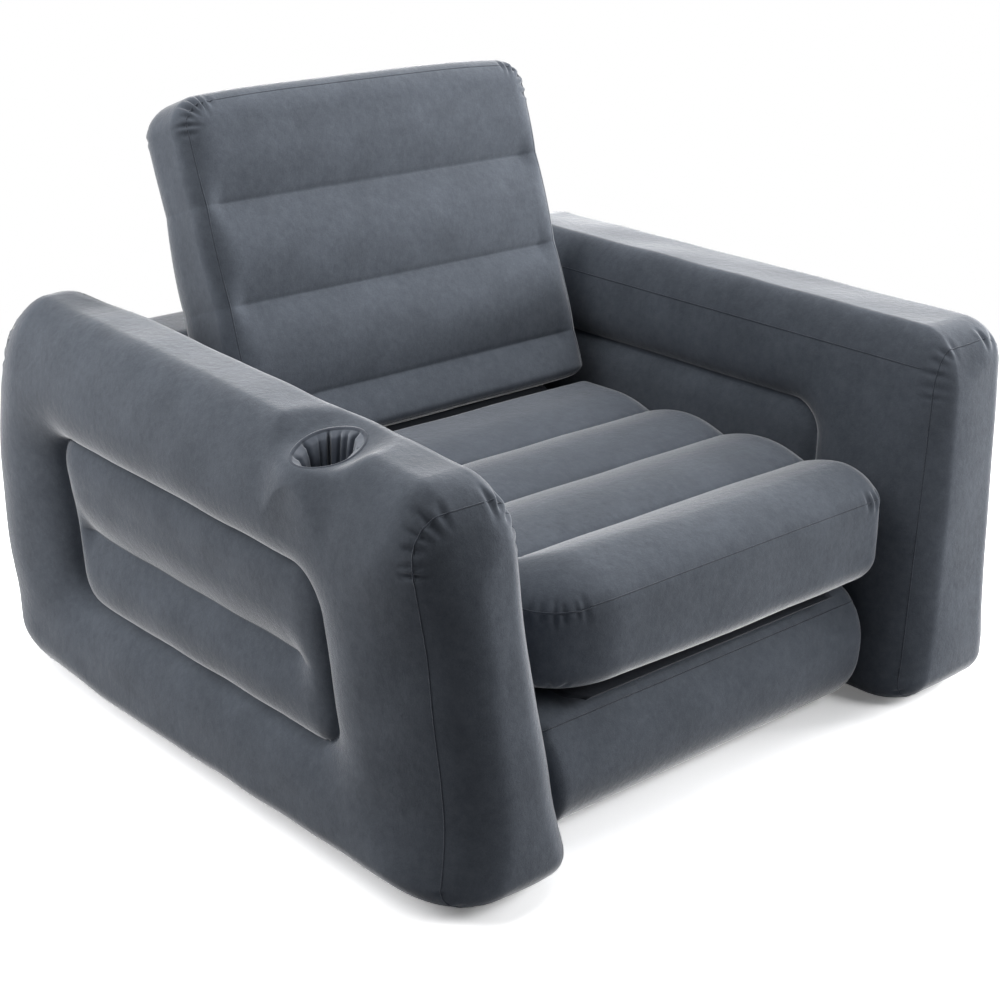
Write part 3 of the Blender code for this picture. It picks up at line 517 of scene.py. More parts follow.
def recess_depth(ahead, height, lift=0.0):
    """How far an arm's side is drawn in: a rolled tube round a panel of two puffed channels."""
    away, lengthwise, end = recess_distance(ahead, height, lift)
    behind = RECESS_REAR - ahead + RECESS_SLANT * (height - 0.30)
    edge = RECESS_DEPTH + RECESS_REAR_EXTRA * smooth_step(1.0 - behind / 0.12)
    rim_end = np.where(ahead > 0.0, RECESS_RIM_REAR, RECESS_RIM_END)
    rim = RECESS_RIM_LEVEL + (rim_end - RECESS_RIM_LEVEL) * lengthwise
    share = np.clip(1.0 - away / rim, 0.0, 1.0)
    outside = edge * (1.0 - np.sqrt(np.maximum(1.0 - share ** 2.1, 0.0)))
    inner = np.clip(-away / RECESS_PUFF, 0.0, 1.0)
    begun = np.clip(behind / RECESS_PUFF_REAR, 0.0, 1.0)
    puff = np.sqrt(np.maximum(1.0 - (1.0 - inner) ** 2, 0.0) * np.maximum(1.0 - (1.0 - begun) ** 2, 0.0))
    valley = np.maximum(0.0, 1.0 - np.abs(height - RECESS_CREASE) / 0.066) ** 1.7
    fade = np.where(ahead > 0.0, smooth_step((end - 0.006) / 0.050), smooth_step((end - 0.020) / 0.070))
    inside = edge - (edge - RECESS_DEPTH + RECESS_BULGE) * puff * (1.0 - 0.97 * valley * fade)
    return np.where(away > 0.0, outside, inside)


def arm_place(side, front_height, rear_height):
    low_x, high_x = -ARM_FOOT_THICKNESS / 2, ARM_FOOT_THICKNESS / 2

    def place(point, flat):
        across = point[:, 0].copy()
        for face, sign in ((low_x, -1.0), (high_x, 1.0)):
            on = np.abs(flat[:, 0] - face) < 1e-7
            across[on] -= sign * recess_depth(flat[on, 1], flat[on, 2], 0.016 if side > 0 else 0.0)
        thickness = arm_thickness(point[:, 2])
        x = arm_outer(point[:, 2]) - thickness / 2 + across * thickness / ARM_FOOT_THICKNESS
        x = x + 0.009 * smooth_step((0.15 - point[:, 2]) / 0.11) * np.clip(2.0 * across / ARM_FOOT_THICKNESS, 0.0, 1.0)
        front = smooth_step((-point[:, 1] - 0.44) / 0.10)
        belly = (0.013 if side < 0 else 0.006) * front * (1.0 - (2.0 * across / ARM_FOOT_THICKNESS) ** 2)
        share = (point[:, 1] + ARM_HALF_DEPTH) / (2 * ARM_HALF_DEPTH)
        z = point[:, 2] * (front_height + share * (rear_height - front_height)) / ARM_REAR_HEIGHT
        if side < 0:
            full = smooth_step((point[:, 1] - 0.30) / 0.26) * np.sin(math.pi * np.clip(point[:, 2] / 0.50, 0.0, 1.0))
            x = x + 0.015 * full * smooth_step(2.0 * across / ARM_FOOT_THICKNESS)
            belly = belly - 0.021 * full
        return np.stack((side * x, leaned(point[:, 1], point[:, 2]) - belly, z), -1)

    return place


def nose_radii(radii, side):
    """Edge radii of an arm at each point: below its top the front is a round nose, fullest outside."""
    near = side < 0
    outer_x, outer_y = (0.118, 0.215) if near else (0.084, 0.096)
    inner_x, inner_y = (0.078 if near else 0.066), 0.115

    def at(flat):
        made = np.broadcast_to(np.array(radii), (len(flat), 3, 2)).copy()
        below = (1.0 - smooth_step((flat[:, 2] - 0.36) / 0.23)) * (0.15 + 0.85 * smooth_step(flat[:, 2] / 0.16))
        ahead = smooth_step((-0.24 - flat[:, 1]) / 0.22)
        outer = smooth_step((flat[:, 0] + 0.05) / 0.09)
        made[:, 1, 0] += below * (inner_y + (outer_y - inner_y) * outer - radii[1][0])
        made[:, 0, 1] += below * ahead * (outer_x - radii[0][1])
        made[:, 0, 0] += below * ahead * (inner_x - radii[0][0])
        if near:
            behind = smooth_step((flat[:, 1] - 0.22) / 0.26)
            above = smooth_step((flat[:, 2] - 0.30) / 0.20)
            made[:, 0, 0] += behind * 0.040
            made[:, 0, 1] += np.maximum(above, behind) * 0.022
            made[:, 1, 1] += (1.0 - above) * 0.022 + above * 0.012
            made[:, 2, 0] += behind * 0.030
            made[:, 2, 1] += outer * 0.062
        else:
            made[:, 0, 1] -= outer * 0.022
            made[:, 2, 1] -= outer * 0.032
        return made

    return at


def make_arm(name, side, seed):
    low = (-ARM_FOOT_THICKNESS / 2, -ARM_HALF_DEPTH, 0.0)
    high = (ARM_FOOT_THICKNESS / 2, ARM_HALF_DEPTH, ARM_REAR_HEIGHT)
    radii = ((0.058, 0.084), (0.086, 0.110), (0.056, 0.096))
    heights = (0.572, 0.636) if side < 0 else (0.583, 0.606)
    cup_marks = (-0.33, -0.23) if side < 0 else ()
    lines = (ruled(low[0], high[0], edge_marks(low, high, radii, 0, 0.03), 0.0036, 0.008),
             ruled(low[1], high[1], edge_marks(low, high, radii, 1, RECESS_FRONT, RECESS_REAR, *cup_marks),
                   0.0032, 0.009, 0.10),
             ruled(low[2], high[2], edge_marks(low, high, radii, 2, RECESS_LOW, RECESS_CREASE, RECESS_HIGH),
                   0.0032, 0.008, 0.12))
    chamber = Chamber(name + "_skin", low, high, radii, lines, arm_place(side, *heights), "frame", [name], seed,
                      nose_radii(radii, side))
    if side < 0:
        chamber.mirrored()
    chamber.swell(0.0011, 0.16)
    paths = {}
    normals = vertex_normals(chamber.points, chamber.quads)
    folds = []
    for key, end in (("front", -1), ("rear", 1)):
        path, turns = chamber.outline(1, end)
        if side < 0 and end < 0:
            outer = smooth_step((-0.44 - path[:, 0]) / 0.08) * smooth_step((0.60 - path[:, 2]) / 0.10)
            path = path + outer[:, None] * np.array([-0.003, 0.014, 0.0])
        paths[key] = path
        made = turn_folds(path, turns, seed + end + 2, 0.019, 0.030, 0.0046, 0.0040 if side < 0 else 0.0022,
                          keep=lambda p: p[2] > 0.45)
        folds += across_folds(made, chamber.points, normals)
        made = turn_folds(path, turns, seed + end + 7, 0.026, 0.020, 0.0042, 0.0018,
                          keep=lambda p: p[2] < 0.10)
        folds += across_folds(made, chamber.points, normals)
    chamber.fold(folds)
    ahead = np.linspace(-0.528, 0.44, 150)
    level = np.stack((np.full(150, low[0] + 0.0042), ahead, np.full(150, high[2] - 0.0575)), -1)
    paths["inner_top"] = chamber.place(level, level)
    return chamber, paths


def cup_hole(chamber):
    """The skin round the cup holder's mouth is drawn onto a plane that slopes outwards."""
    points = chamber.points
    reach = np.hypot(points[:, 0] - CUP_PLACE[0], points[:, 1] - CUP_PLACE[1])
    plane = CUP_LEVEL + 0.27 * (points[:, 0] - CUP_PLACE[0]) + 0.05 * (points[:, 1] - CUP_PLACE[1])
    share = (1.0 - smooth_step((reach - 0.047) / 0.050)) * (points[:, 2] > 0.46)
    level = points[:, 2] + share * (plane - points[:, 2])
    chamber.points = np.stack((points[:, 0], points[:, 1], level), -1)


def pocket_radius(angle):
    """Outline of the cup pocket's mouth: a soft oval with slight corners."""
    return 0.0455 * (1.0 + 0.045 * np.cos(2.0 * angle + 0.5) + 0.020 * np.cos(4.0 * angle + 1.0))


def cut_pocket(arm, depth):
    """Cut the pocket's room out of the arm's skin and keep the plain result."""
    angles = np.linspace(0.0, 2.0 * math.pi, 72, endpoint=False)
    radius = pocket_radius(angles)
    rings = []
    for height in (-depth, 0.06):
        rings.append(np.stack((CUP_PLACE[0] + radius * np.cos(angles), CUP_PLACE[1] + radius * np.sin(angles),
                               np.full(72, 0.585 + height)), -1))
    faces = [list(range(72))[::-1], list(range(72, 144))]
    faces += [[k, (k + 1) % 72, 72 + (k + 1) % 72, 72 + k] for k in range(72)]
    cutter = mesh_object("pocket_cutter", np.concatenate(rings), faces, BARE)
    step = arm.modifiers.new("pocket", "BOOLEAN")
    step.operation = "DIFFERENCE"
    step.solver = "EXACT"
    step.object = cutter
    bpy.context.view_layer.update()
    cut = bpy.data.meshes.new_from_object(arm.evaluated_get(bpy.context.evaluated_depsgraph_get()))
    arm.modifiers.clear()
    arm.data = cut
    arm.data.shade_smooth()
    bpy.data.objects.remove(cutter)


def skin_heights(arm, radius, angles):
    """Height of the arm's skin round the pocket, before the hole is cut."""
    tree = BVHTree.FromObject(arm, bpy.context.evaluated_depsgraph_get())
    heights = []
    for r, angle in zip(radius, angles):
        start = Vector((CUP_PLACE[0] + r * math.cos(angle), CUP_PLACE[1] + r * math.sin(angle), 1.0))
        heights.append(tree.ray_cast(start, Vector((0.0, 0.0, -1.0)))[0].z)
    return np.array(heights)


def make_pocket(arm):
    """The pleated vinyl pocket: its mouth follows the arm's skin, with deep folds below."""
    turns, count = 144, 26
    angles = np.linspace(0.0, 2.0 * math.pi, turns, endpoint=False)
    folds = ((102, 1.0, 0.070), (52, 1.0, 0.060), (-6, 1.0, 0.060), (72, 0.35, 0.060), (28, 0.40, 0.050),
             (12, 0.30, 0.050), (140, 0.7, 0.080), (182, 1.0, 0.070), (226, 0.9, 0.070), (268, 1.0, 0.070),
             (312, 0.8, 0.070))
    pleat = np.zeros(turns)
    for centre, depth, width in folds:
        apart = np.angle(np.exp(1j * (angles - math.radians(centre))))
        pleat += depth * np.exp(-(apart / width) ** 2)
    puff = 1.0 - np.clip(pleat, 0.0, 1.0)
    radius = pocket_radius(angles)
    outer = skin_heights(arm, radius + 0.0038, angles)
    rim = skin_heights(arm, radius + 0.0006, angles)
    level = rim.mean()
    rings = [(radius + 0.0038, outer - 0.0008), (radius + 0.0028, outer + 0.0005), (radius + 0.0010, rim + 0.0008),
             (radius - 0.0008, rim + 0.0002), (radius - 0.0022 + 0.0006 * pleat, rim - 0.0022)]
    for k in range(1, count):
        share = k / (count - 1)
        follow = (1.0 - smooth_step(np.array(share * 2.2))) * (rim - level)
        inward = 0.0026 + 0.013 * puff * math.sin(math.pi * min(1.0, share * 1.10 + 0.10)) ** 0.6
        narrow = 0.0035 * share + 0.016 * max(0.0, share - 0.86) / 0.14
        rings.append((radius - inward - narrow + 0.0016 * pleat, level + follow - 0.0035 - 0.080 * share))
    points = []
    for ring, height in rings:
        points.append(np.stack((CUP_PLACE[0] + ring * np.cos(angles), CUP_PLACE[1] + ring * np.sin(angles),
                                height), -1))
    points.append(np.array([[*CUP_PLACE, level - 0.0850]]))
    points = np.concatenate(points)
    faces = []
    for row in range(len(rings) - 1):
        for k in range(turns):
            a, b = row * turns + k, row * turns + (k + 1) % turns
            faces.append([a, b, b + turns, a + turns][::-1])
    last, centre = (len(rings) - 1) * turns, len(points) - 1
    faces += [[centre, last + (k + 1) % turns, last + k][::-1] for k in range(turns)]
    made = mesh_object("cup_holder_pocket", points, faces, LINER)
    made.data.materials.append(FLOCK)
    for face in made.data.polygons[:4 * turns]:
        face.material_index = 1
    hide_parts("cup_holder_liner")
    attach(made, "frame")
    return made


# Panels

def channel_valley(along, creases, pitch, groove=0.0016):
    """0 on the crests to 1 on a crease, and a narrow weld groove, in metres."""
    nearest = np.min(np.abs(along[:, None] - np.array(creases)[None]), axis=1)
    valley = np.maximum(0.0, 1.0 - 2.0 * nearest / pitch) ** 1.9
    return valley, groove * np.exp(-(nearest / 0.0035) ** 2)


def seat_place(low, high, creases, pitch):
    middle, half = (low[2] + high[2]) / 2, (high[2] - low[2]) / 2

    def place(point, flat):
        valley, groove = channel_valley(flat[:, 1], creases, pitch)
        near_side = np.abs(point[:, 0]) / high[0]
        drop = 0.019 * valley + groove + 0.002 * near_side ** 3
        draw = 0.004 * valley + 0.5 * groove
        x = point[:, 0] * (1.0 - draw / high[0] * near_side)
        z = middle + (point[:, 2] - middle) * (1.0 - drop / half)
        front = smooth_step((low[1] + 0.10 - point[:, 1]) / 0.10)
        level = (point[:, 2] - middle) / half
        y = point[:, 1] - 0.004 * front * (1.0 - level ** 2)
        return np.stack((x, y + SEAT_HINGE_Y, z + SEAT_HINGE_Z), -1)

    return place


def seat_radii(radii, front):
    """Edge radii of the seat: its front roll turns widely on the side of the cup holder."""
    def at(flat):
        made = np.broadcast_to(np.array(radii), (len(flat), 3, 2)).copy()
        ahead = smooth_step((front + 0.17 - flat[:, 1]) / 0.10)
        near = smooth_step((-0.02 - flat[:, 0]) / 0.20)
        made[:, 0, 0] += ahead * (0.135 - radii[0][0])
        made[:, 1, 0] += near * (0.104 - radii[1][0])
        return made

    return at


def make_seat():
    length = BACK_HINGE.y - SEAT_HINGE_Y - 2 * FOLD_GAP
    pitch = (length - SEAT_FRONT_CHANNEL) / 3
    low = (-0.354, FOLD_GAP, SEAT_BOTTOM - SEAT_HINGE_Z)
    high = (0.354, FOLD_GAP + length, SEAT_TOP - SEAT_HINGE_Z)
    creases = [low[1] + SEAT_FRONT_CHANNEL + pitch * k for k in (0, 1, 2)]
    radii = ((0.054, 0.050), (0.078, 0.016), (0.055, 0.058))
    lines = (ruled(low[0], high[0], edge_marks(low, high, radii, 0), 0.0032, 0.010, 0.12),
             ruled(low[1], high[1], (*creases, low[1] + radii[1][0] / 2, low[1] + radii[1][0]), 0.0020, 0.007, 0.14),
             ruled(low[2], high[2], edge_marks(low, high, radii, 2), 0.0035, 0.007))
    chamber = Chamber("seat_panel_skin", low, high, radii, lines, seat_place(low, high, creases, pitch),
                      "seat", ["seat_panel"], 41, seat_radii(radii, low[1]))
    chamber.swell(0.0009, 0.13)
    normals = vertex_normals(chamber.points, chamber.quads)
    path, turns = chamber.outline(2, 1, tilt=0.966)
    folds = turn_folds(path, turns, 5, 0.016, 0.024, 0.0042, 0.0034, keep=lambda p: p[1] < -0.2, spill=3)
    under, under_turns = chamber.outline(2, -1)
    folds += turn_folds(under, under_turns, 9, 0.024, 0.020, 0.0042, 0.0020, spill=2)
    folds = across_folds(folds, chamber.points, normals)
    draw = np.random.default_rng(6)
    for crease in creases:
        for side in (-1, 1):
            for k in range(3):
                centre = np.array([side * (0.300 - 0.016 * k), SEAT_HINGE_Y + crease, SEAT_TOP - 0.026])
                lean = draw.normal(0, 0.5)
                folds.append((centre + draw.normal(size=3) * 0.003, np.array([lean, 1.0, 0.0]), 0.016, 0.0035,
                              0.0011 * draw.uniform(0.5, 1.2)))
    chamber.fold(folds)
    return chamber, {"upper": path, "under": under}


def back_place(low, high, creases, pitch):
    middle, half = (low[2] + high[2]) / 2, (high[2] - low[2]) / 2
    up = np.array([0.0, math.sin(BACK_LEAN), math.cos(BACK_LEAN)])
    out = np.array([0.0, -math.cos(BACK_LEAN), math.sin(BACK_LEAN)])

    def place(point, flat):
        valley, groove = channel_valley(flat[:, 1], creases, pitch)
        fade = smooth_step((np.minimum(point[:, 0] - low[0], high[0] - point[:, 0]) - 0.005) / 0.045)
        near_side = np.abs(point[:, 0]) / high[0]
        drop = (0.0185 * valley + groove) * fade + 0.008 * near_side ** 2
        x = point[:, 0] * (1.0 - 0.004 / high[0] * valley)
        z = middle + (point[:, 2] - middle) * (1.0 - drop / half)
        fuller = smooth_step((point[:, 1] - 0.135) / 0.085) * (1.0 - smooth_step((point[:, 1] - 0.21) / 0.24))
        z = z - 0.020 * fuller * np.clip((middle + half * 0.2 - point[:, 2]) / half, 0.0, 1.0)
        rise = smooth_step((point[:, 1] - (high[1] - 0.09)) / 0.09)
        y = point[:, 1] - 0.010 * rise * near_side ** 3
        across = np.array([1.0, 0.0, 0.0])
        return (np.array(BACK_HINGE)[None] + x[:, None] * across + y[:, None] * up + z[:, None] * out)

    return place


def make_back():
    low = (-0.341, FOLD_GAP, -0.160)
    high = (0.361, 0.562, 0.0)
    creases = [0.081, 0.236, 0.391]
    radii = ((0.050, 0.048), (0.018, 0.050), (0.066, 0.038))
    lines = (ruled(low[0], high[0], edge_marks(low, high, radii, 0), 0.0030, 0.010, 0.12),
             ruled(low[1], high[1], (*creases, high[1] - radii[1][1], high[1] - radii[1][1] / 2), 0.0020, 0.007, 0.14),
             ruled(low[2], high[2], edge_marks(low, high, radii, 2), 0.0034, 0.007))
    chamber = Chamber("backrest_panel_skin", low, high, radii, lines, back_place(low, high, creases, 0.155),
                      "backrest", ["backrest_panel"], 53)
    chamber.swell(0.0009, 0.14)
    normals = vertex_normals(chamber.points, chamber.quads)
    path, turns = chamber.outline(2, 1)
    folds = turn_folds(path, turns, 15, 0.011, 0.024, 0.0036, 0.0034, keep=lambda p: p[2] > 0.75, spill=3)
    rear, rear_turns = chamber.outline(2, -1)
    folds += turn_folds(rear, rear_turns, 19, 0.018, 0.026, 0.0040, 0.0022, keep=lambda p: p[2] > 0.7, spill=2)
    folds = across_folds(folds, chamber.points, normals)
    chamber.fold(folds)
    return chamber, {"front": path, "rear": rear}


def bolster_front(height):
    share = height / BOLSTER_HEIGHT
    return BOLSTER_BACK - (BOLSTER_FOOT_THICKNESS + share * (BOLSTER_TOP_THICKNESS - BOLSTER_FOOT_THICKNESS))


def base_place(low, high, creases, pitch):
    def place(point, flat):
        valley, groove = channel_valley(flat[:, 1], creases, pitch)
        share = (point[:, 2] - low[2]) / (high[2] - low[2])
        drop = (0.016 * valley + groove) * share
        drop = np.where(share < 0.46, 0.0, drop * smooth_step((share - 0.46) / 0.4))
        x = point[:, 0] * room_half_width(point[:, 2] - drop) / high[0]
        front = smooth_step((low[1] + 0.09 - point[:, 1]) / 0.09)
        y = point[:, 1] - 0.004 * front * (1.0 - (2.0 * share - 1.0) ** 2)
        return np.stack((x, y, point[:, 2] - drop), -1)

    return place


def make_base():
    rear = bolster_front(0.08) - 0.0018
    pitch = (rear - BASE_FRONT) / 4
    creases = [BASE_FRONT + pitch * k for k in (1, 2, 3)]
    half = room_half_width(0.08)
    low, high = (-half, BASE_FRONT, 0.0), (half, rear, BASE_HEIGHT)
    radii = ((0.036, 0.036), (0.088, 0.080), (0.090, 0.098))
    lines = (ruled(low[0], high[0], (), 0.0045, 0.012, 0.12), ruled(low[1], high[1], creases, 0.0030, 0.010, 0.14),
             ruled(low[2], high[2], (), 0.0045, 0.008))
    chamber = Chamber("base_mattress_skin", low, high, radii, lines, base_place(low, high, creases, pitch),
                      "frame", ["base_mattress"], 61)
    normals = vertex_normals(chamber.points, chamber.quads)
    path, turns = chamber.outline(2, 1)
    folds = turn_folds(path, turns, 25, 0.020, 0.026, 0.0042, 0.0022, keep=lambda p: p[1] < 0, spill=2)
    chamber.fold(across_folds(folds, chamber.points, normals))
    return chamber, {"upper": path}


def bolster_place(point, flat):
    near = np.maximum(0.0, 1.0 - np.abs(point[:, 2] - BOLSTER_CREASE_HEIGHT) / BOLSTER_CREASE_REACH)
    groove = 0.0014 * np.exp(-((point[:, 2] - BOLSTER_CREASE_HEIGHT) / 0.004) ** 2)
    thickness = BOLSTER_BACK - bolster_front(point[:, 2])
    share = (BOLSTER_BACK - point[:, 1]) / BOLSTER_FOOT_THICKNESS
    fade = 1.0 - smooth_step((np.abs(point[:, 0]) - 0.30) / 0.06)
    power = np.where((share < 0.5) & (point[:, 2] < BOLSTER_CREASE_HEIGHT), 1.0, 2.0)
    draw = (BOLSTER_CREASE_DEPTH * near ** power + groove) * (0.75 + 0.25 * fade)
    drawn = share + (0.5 - share) * 2.0 * draw / thickness
    across = point[:, 0] * room_half_width(point[:, 2]) / room_half_width(0.0)
    return np.stack((across, BOLSTER_BACK - drawn * thickness, point[:, 2]), -1)


def make_bolster():
    half = room_half_width(0.0)
    low = (-half, BOLSTER_BACK - BOLSTER_FOOT_THICKNESS, 0.0)
    high = (half, BOLSTER_BACK, BOLSTER_HEIGHT)
    radii = ((0.070, 0.070), (0.072, 0.072), (0.070, 0.076))
    lines = (ruled(low[0], high[0], (), 0.0045, 0.012, 0.12), ruled(low[1], high[1], (), 0.0045, 0.009),
             ruled(low[2], high[2], (BOLSTER_CREASE_HEIGHT,), 0.0030, 0.009, 0.14))
    chamber = Chamber("rear_bolster_skin", low, high, radii, lines, bolster_place, "frame", ["rear_bolster"], 71)
    normals = vertex_normals(chamber.points, chamber.quads)
    folds, paths = [], {}
    for key, end in (("front", -1), ("rear", 1)):
        path, turns = chamber.outline(1, end)
        paths[key] = path
        folds += turn_folds(path, turns, 35 + end, 0.020, 0.026, 0.0042, 0.0022, keep=lambda p: p[2] > 0.5)
    chamber.fold(across_folds(folds, chamber.points, normals))
    return chamber, paths


# Fold webs

def strip(name, rows, half_widths, thickness, material):
    """A thin closed band across X that follows (y, z) rows, each with its own half width."""
    rows = np.array(rows, float)
    ahead = np.gradient(rows, axis=0)
    ahead /= np.linalg.norm(ahead, axis=1)[:, None]
    normal = np.stack((-ahead[:, 1], ahead[:, 0]), -1) * thickness / 2
    shares = np.linspace(-1.0, 1.0, 49)
    points = []
    for row, off, half in zip(rows, normal, half_widths):
        for sign in (-1, 1):
            for share in shares:
                ruffle = 0.0
                points.append((share * half, *(row + sign * off + ruffle)))
    count = len(shares)
    faces = []
    for k in range(len(rows) - 1):
        a, b = k * 2 * count, (k + 1) * 2 * count
        for s in range(count - 1):
            faces.append([a + s, a + s + 1, b + s + 1, b + s])
            faces.append([a + count + s, b + count + s, b + count + s + 1, a + count + s + 1])
        for s in (0, count - 1):
            face = [a + s, b + s, b + count + s, a + count + s]
            faces.append(face if s == 0 else face[::-1])
    for a, flip in ((0, False), ((len(rows) - 1) * 2 * count, True)):
        for s in range(count - 1):
            face = [a + s, a + count + s, a + count + s + 1, a + s + 1]
            faces.append(face[::-1] if flip else face)
    return mesh_object(name, np.array(points), faces, material)


def make_front_web():
    """The double web between seat and base, folded back on itself at the front."""
    nose, weld = -0.474, -0.380
    low_level, high_level = 0.20035, 0.20165
    rows, widths = [], []
    for k in range(16):
        share = k / 15
        rows.append((weld + (nose - weld) * share, low_level))
        widths.append(0.274 - 0.016 * smooth_step(np.array(max(0.0, share - 0.7) / 0.3)).item())
    middle, radius = (low_level + high_level) / 2, (high_level - low_level) / 2
    for angle in np.radians(np.arange(-75, 76, 15)):
        rows.append((nose - radius * 3.0 * math.cos(angle), middle + radius * math.sin(angle)))
        widths.append(0.258)
    for k in range(16):
        share = 1.0 - k / 15
        rows.append((weld + (nose - weld) * share, high_level))
        widths.append(0.274 - 0.016 * smooth_step(np.array(max(0.0, share - 0.7) / 0.3)).item())
    made = strip("front_hinge_web_loop", rows, widths, 0.0005, BARE)
    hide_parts("front_hinge_web")
    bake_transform(made)
    return made


def make_rear_web():
    """The slack web from the seat's rear face, deep under the fold, to the backrest's lower face."""
    hinge_y, hinge_z = BACK_HINGE.y, BACK_HINGE.z
    back = np.array((math.cos(BACK_LEAN), -math.sin(BACK_LEAN)))
    up = np.array((math.sin(BACK_LEAN), math.cos(BACK_LEAN)))
    hinge = np.array((hinge_y, hinge_z))
    seat_weld = np.array((hinge_y - 0.0006, hinge_z - 0.066))
    back_weld = hinge + back * 0.046 + up * 0.0006
    rows = [seat_weld - (0.0, 0.030 - 0.0025 * k) for k in range(12)]
    for share in np.linspace(0.0, 1.0, 16):
        first = seat_weld + (0.0, 0.020 * share)
        last = back_weld - back * 0.020 * (1.0 - share)
        rows.append(first + (last - first) * smooth_step(np.array(share)))
    rows += [back_weld + back * 0.0025 * k for k in range(1, 13)]
    made = strip("rear_hinge_web_strip", rows, [0.272] * len(rows), 0.0008, BARE)
    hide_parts("rear_hinge_web")
    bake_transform(made)
    return made


def dress_nodes():
    """Better finishes for the CAD nodes that keep their shape."""
    for name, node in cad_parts.items():
        if "_web_" in name or name == "rear_bolster_web":
            finish = WEB
        elif name.endswith("valve_body"):
            finish = RUBBER
        elif name.endswith("_insert"):
            finish = PLASTIC
        elif name.endswith("_flap"):
            finish = FILM
        elif name.endswith("_cap"):
            finish = CAP
        else:
            continue
        node.data.materials.clear()
        node.data.materials.append(finish)


# Stage: softboxes as (name, place, target, size, power)

AMBIENT = 0.006
LAMPS = (
    ("overhead_left", (-0.8, 0.2, 2.1), (0.0, 0.0, 0.3), (1.5, 2.2), 28.0),
    ("overhead_right", (1.7, 0.2, 2.2), (0.0, 0.0, 0.35), (1.4, 2.0), 53.0),
    ("left_back", (-2.3, 2.4, 1.2), (-0.2, 0.0, 0.35), (1.4, 1.2), 82.0),
    ("right_side", (3.1, -1.1, 0.9), (0.0, -0.2, 0.35), (1.4, 1.2), 116.0),
    ("right_front", (2.6, -2.2, 1.0), (0.0, -0.2, 0.35), (1.4, 1.2), 24.0),
    ("front_right_high", (1.3, -2.6, 1.9), (0.0, -0.2, 0.35), (1.2, 1.2), 31.0),
)


def make_stage():
    scene = bpy.context.scene
    scene.view_settings.view_transform = "Standard"

    world = bpy.data.worlds.new("studio")
    scene.world = world
    world.use_nodes = True
    tree = world.node_tree
    tree.nodes.clear()
    out = tree.nodes.new("ShaderNodeOutputWorld")
    soft = add(tree, "ShaderNodeBackground", Color=(0.93, 0.96, 1.0, 1.0), Strength=AMBIENT)
    white = add(tree, "ShaderNodeBackground", Color=(1.0, 1.0, 1.0, 1.0), Strength=1.0)
    rays = tree.nodes.new("ShaderNodeLightPath")
    seen = add(tree, "ShaderNodeMath", operation="MAXIMUM")
    also = add(tree, "ShaderNodeMath", operation="MAXIMUM")
    tree.links.new(rays.outputs["Is Camera Ray"], seen.inputs[0])
    tree.links.new(rays.outputs["Is Glossy Ray"], seen.inputs[1])
    tree.links.new(seen.outputs[0], also.inputs[0])
    tree.links.new(rays.outputs["Is Transmission Ray"], also.inputs[1])
    blend = tree.nodes.new("ShaderNodeMixShader")
    tree.links.new(also.outputs[0], blend.inputs[0])
    tree.links.new(soft.outputs[0], blend.inputs[1])
    tree.links.new(white.outputs[0], blend.inputs[2])
    tree.links.new(blend.outputs[0], out.inputs["Surface"])

    size = 12.0
    floor = mesh_object("studio_floor", np.array([(-size, -size, -0.0004), (size, -size, -0.0004),
                                                  (size, size, -0.0004), (-size, size, -0.0004)]),
                        [[0, 1, 2, 3]], floor_material())

    for name, place, target, size, power in LAMPS:
        lamp(name, place, target, size, power, (1.0, 1.0, 1.0))

    view = bpy.data.cameras.new("photo_view")
    view.sensor_width = 36.0
    view.lens = 1906.8 * 36.0 / 1000.0
    camera = bpy.data.objects.new("photo_view", view)
    scene.collection.objects.link(camera)
    camera.location = (-1.8717, -2.1121, 1.3503)
    camera.rotation_euler = (math.radians(90.0 - 20.621), 0.0, math.radians(-41.72))
    scene.camera = camera


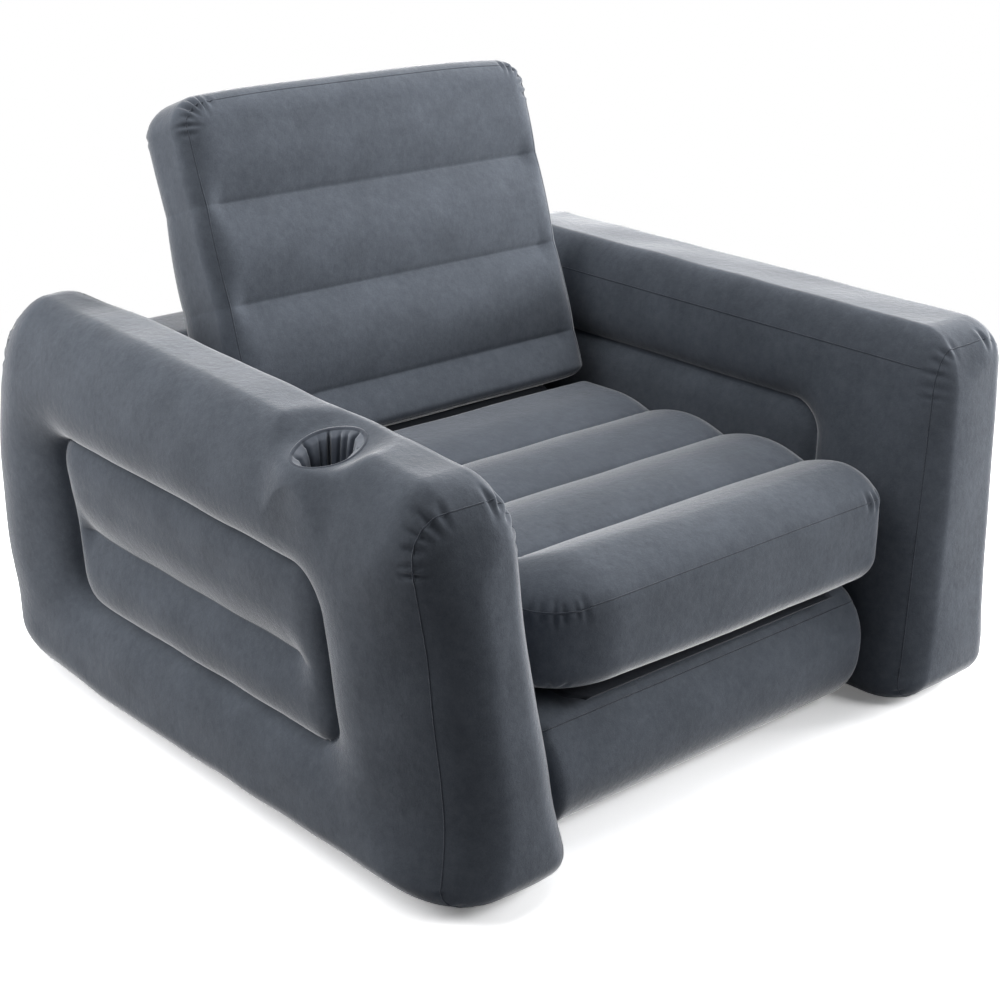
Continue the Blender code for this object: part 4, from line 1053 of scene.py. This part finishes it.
def floor_material():
    """A pale floor that keeps soft shadows near the object and turns plain white further out."""
    made, tree, shader = shader_of("studio_floor")
    out = tree.nodes["Material Output"]
    shader.inputs["Roughness"].default_value = 0.95
    shader.inputs["Specular IOR Level"].default_value = 0.1
    place = tree.nodes.new("ShaderNodeTexCoord").outputs["Object"]
    tone = ramp(tree, noise(tree, place, 3.0, 2.0), ((0.3, (0.86, 0.86, 0.865)), (0.7, (0.88, 0.88, 0.885))))
    tree.links.new(tone, shader.inputs["Base Color"])
    glow = add(tree, "ShaderNodeEmission", Color=(1.0, 1.0, 1.0, 1.0), Strength=0.14)
    plain = add(tree, "ShaderNodeEmission", Color=(1.0, 1.0, 1.0, 1.0), Strength=1.0)
    lit = tree.nodes.new("ShaderNodeAddShader")
    tree.links.new(shader.outputs[0], lit.inputs[0])
    tree.links.new(shader.outputs[0], lit.inputs[1])
    both = tree.nodes.new("ShaderNodeAddShader")
    tree.links.new(lit.outputs[0], both.inputs[0])
    tree.links.new(glow.outputs[0], both.inputs[1])
    length = add(tree, "ShaderNodeVectorMath", operation="LENGTH")
    tree.links.new(place, length.inputs[0])
    reach = tree.nodes.new("ShaderNodeMapRange")
    reach.interpolation_type = "SMOOTHSTEP"
    reach.inputs["From Min"].default_value = 1.0
    reach.inputs["From Max"].default_value = 2.4
    tree.links.new(length.outputs["Value"], reach.inputs["Value"])
    far = tree.nodes.new("ShaderNodeMixShader")
    tree.links.new(reach.outputs[0], far.inputs[0])
    tree.links.new(both.outputs[0], far.inputs[1])
    tree.links.new(plain.outputs[0], far.inputs[2])
    rays = tree.nodes.new("ShaderNodeLightPath")
    seen = tree.nodes.new("ShaderNodeMixShader")
    bounce = add(tree, "ShaderNodeBsdfDiffuse", Color=(0.42, 0.42, 0.43, 1.0))
    tree.links.new(rays.outputs["Is Camera Ray"], seen.inputs[0])
    tree.links.new(bounce.outputs[0], seen.inputs[1])
    tree.links.new(far.outputs[0], seen.inputs[2])
    tree.links.new(seen.outputs[0], out.inputs["Surface"])
    return made


def lamp(name, place, target, size, power, colour):
    data = bpy.data.lights.new(name, "AREA")
    data.shape = "RECTANGLE"
    data.size, data.size_y = size
    data.energy = power
    data.color = colour
    made = bpy.data.objects.new(name, data)
    bpy.context.scene.collection.objects.link(made)
    made.location = place
    made.rotation_euler = (Vector(target) - Vector(place)).to_track_quat("-Z", "Y").to_euler()


def main():
    make_stage()

    for name, side, seed in (("left_arm", -1.0, 11), ("right_arm", 1.0, 23)):
        arm, paths = make_arm(name, side, seed)
        if side < 0:
            cup_hole(arm)
        made = arm.finish(FLOCK, 1.0)
        for key, path in paths.items():
            seam_bead(f"{name}_{key}_seam", made, path, key != "inner_top", "frame", SEAM)
        if side < 0:
            make_pocket(made)
            cut_pocket(made, 0.100)
        arm.declare(0.9)

    for build, beads in ((make_seat, ("upper",)), (make_back, ("front", "rear")), (make_base, ("upper",)),
                         (make_bolster, ("front", "rear"))):
        chamber, paths = build()
        made = chamber.finish(FLOCK, 1.0)
        for key in beads:
            seam_bead(f"{chamber.name}_{key}_seam", made, paths[key], True, chamber.body, SEAM)
        chamber.declare(0.9)

    make_front_web()
    make_rear_web()
    dress_nodes()


main()
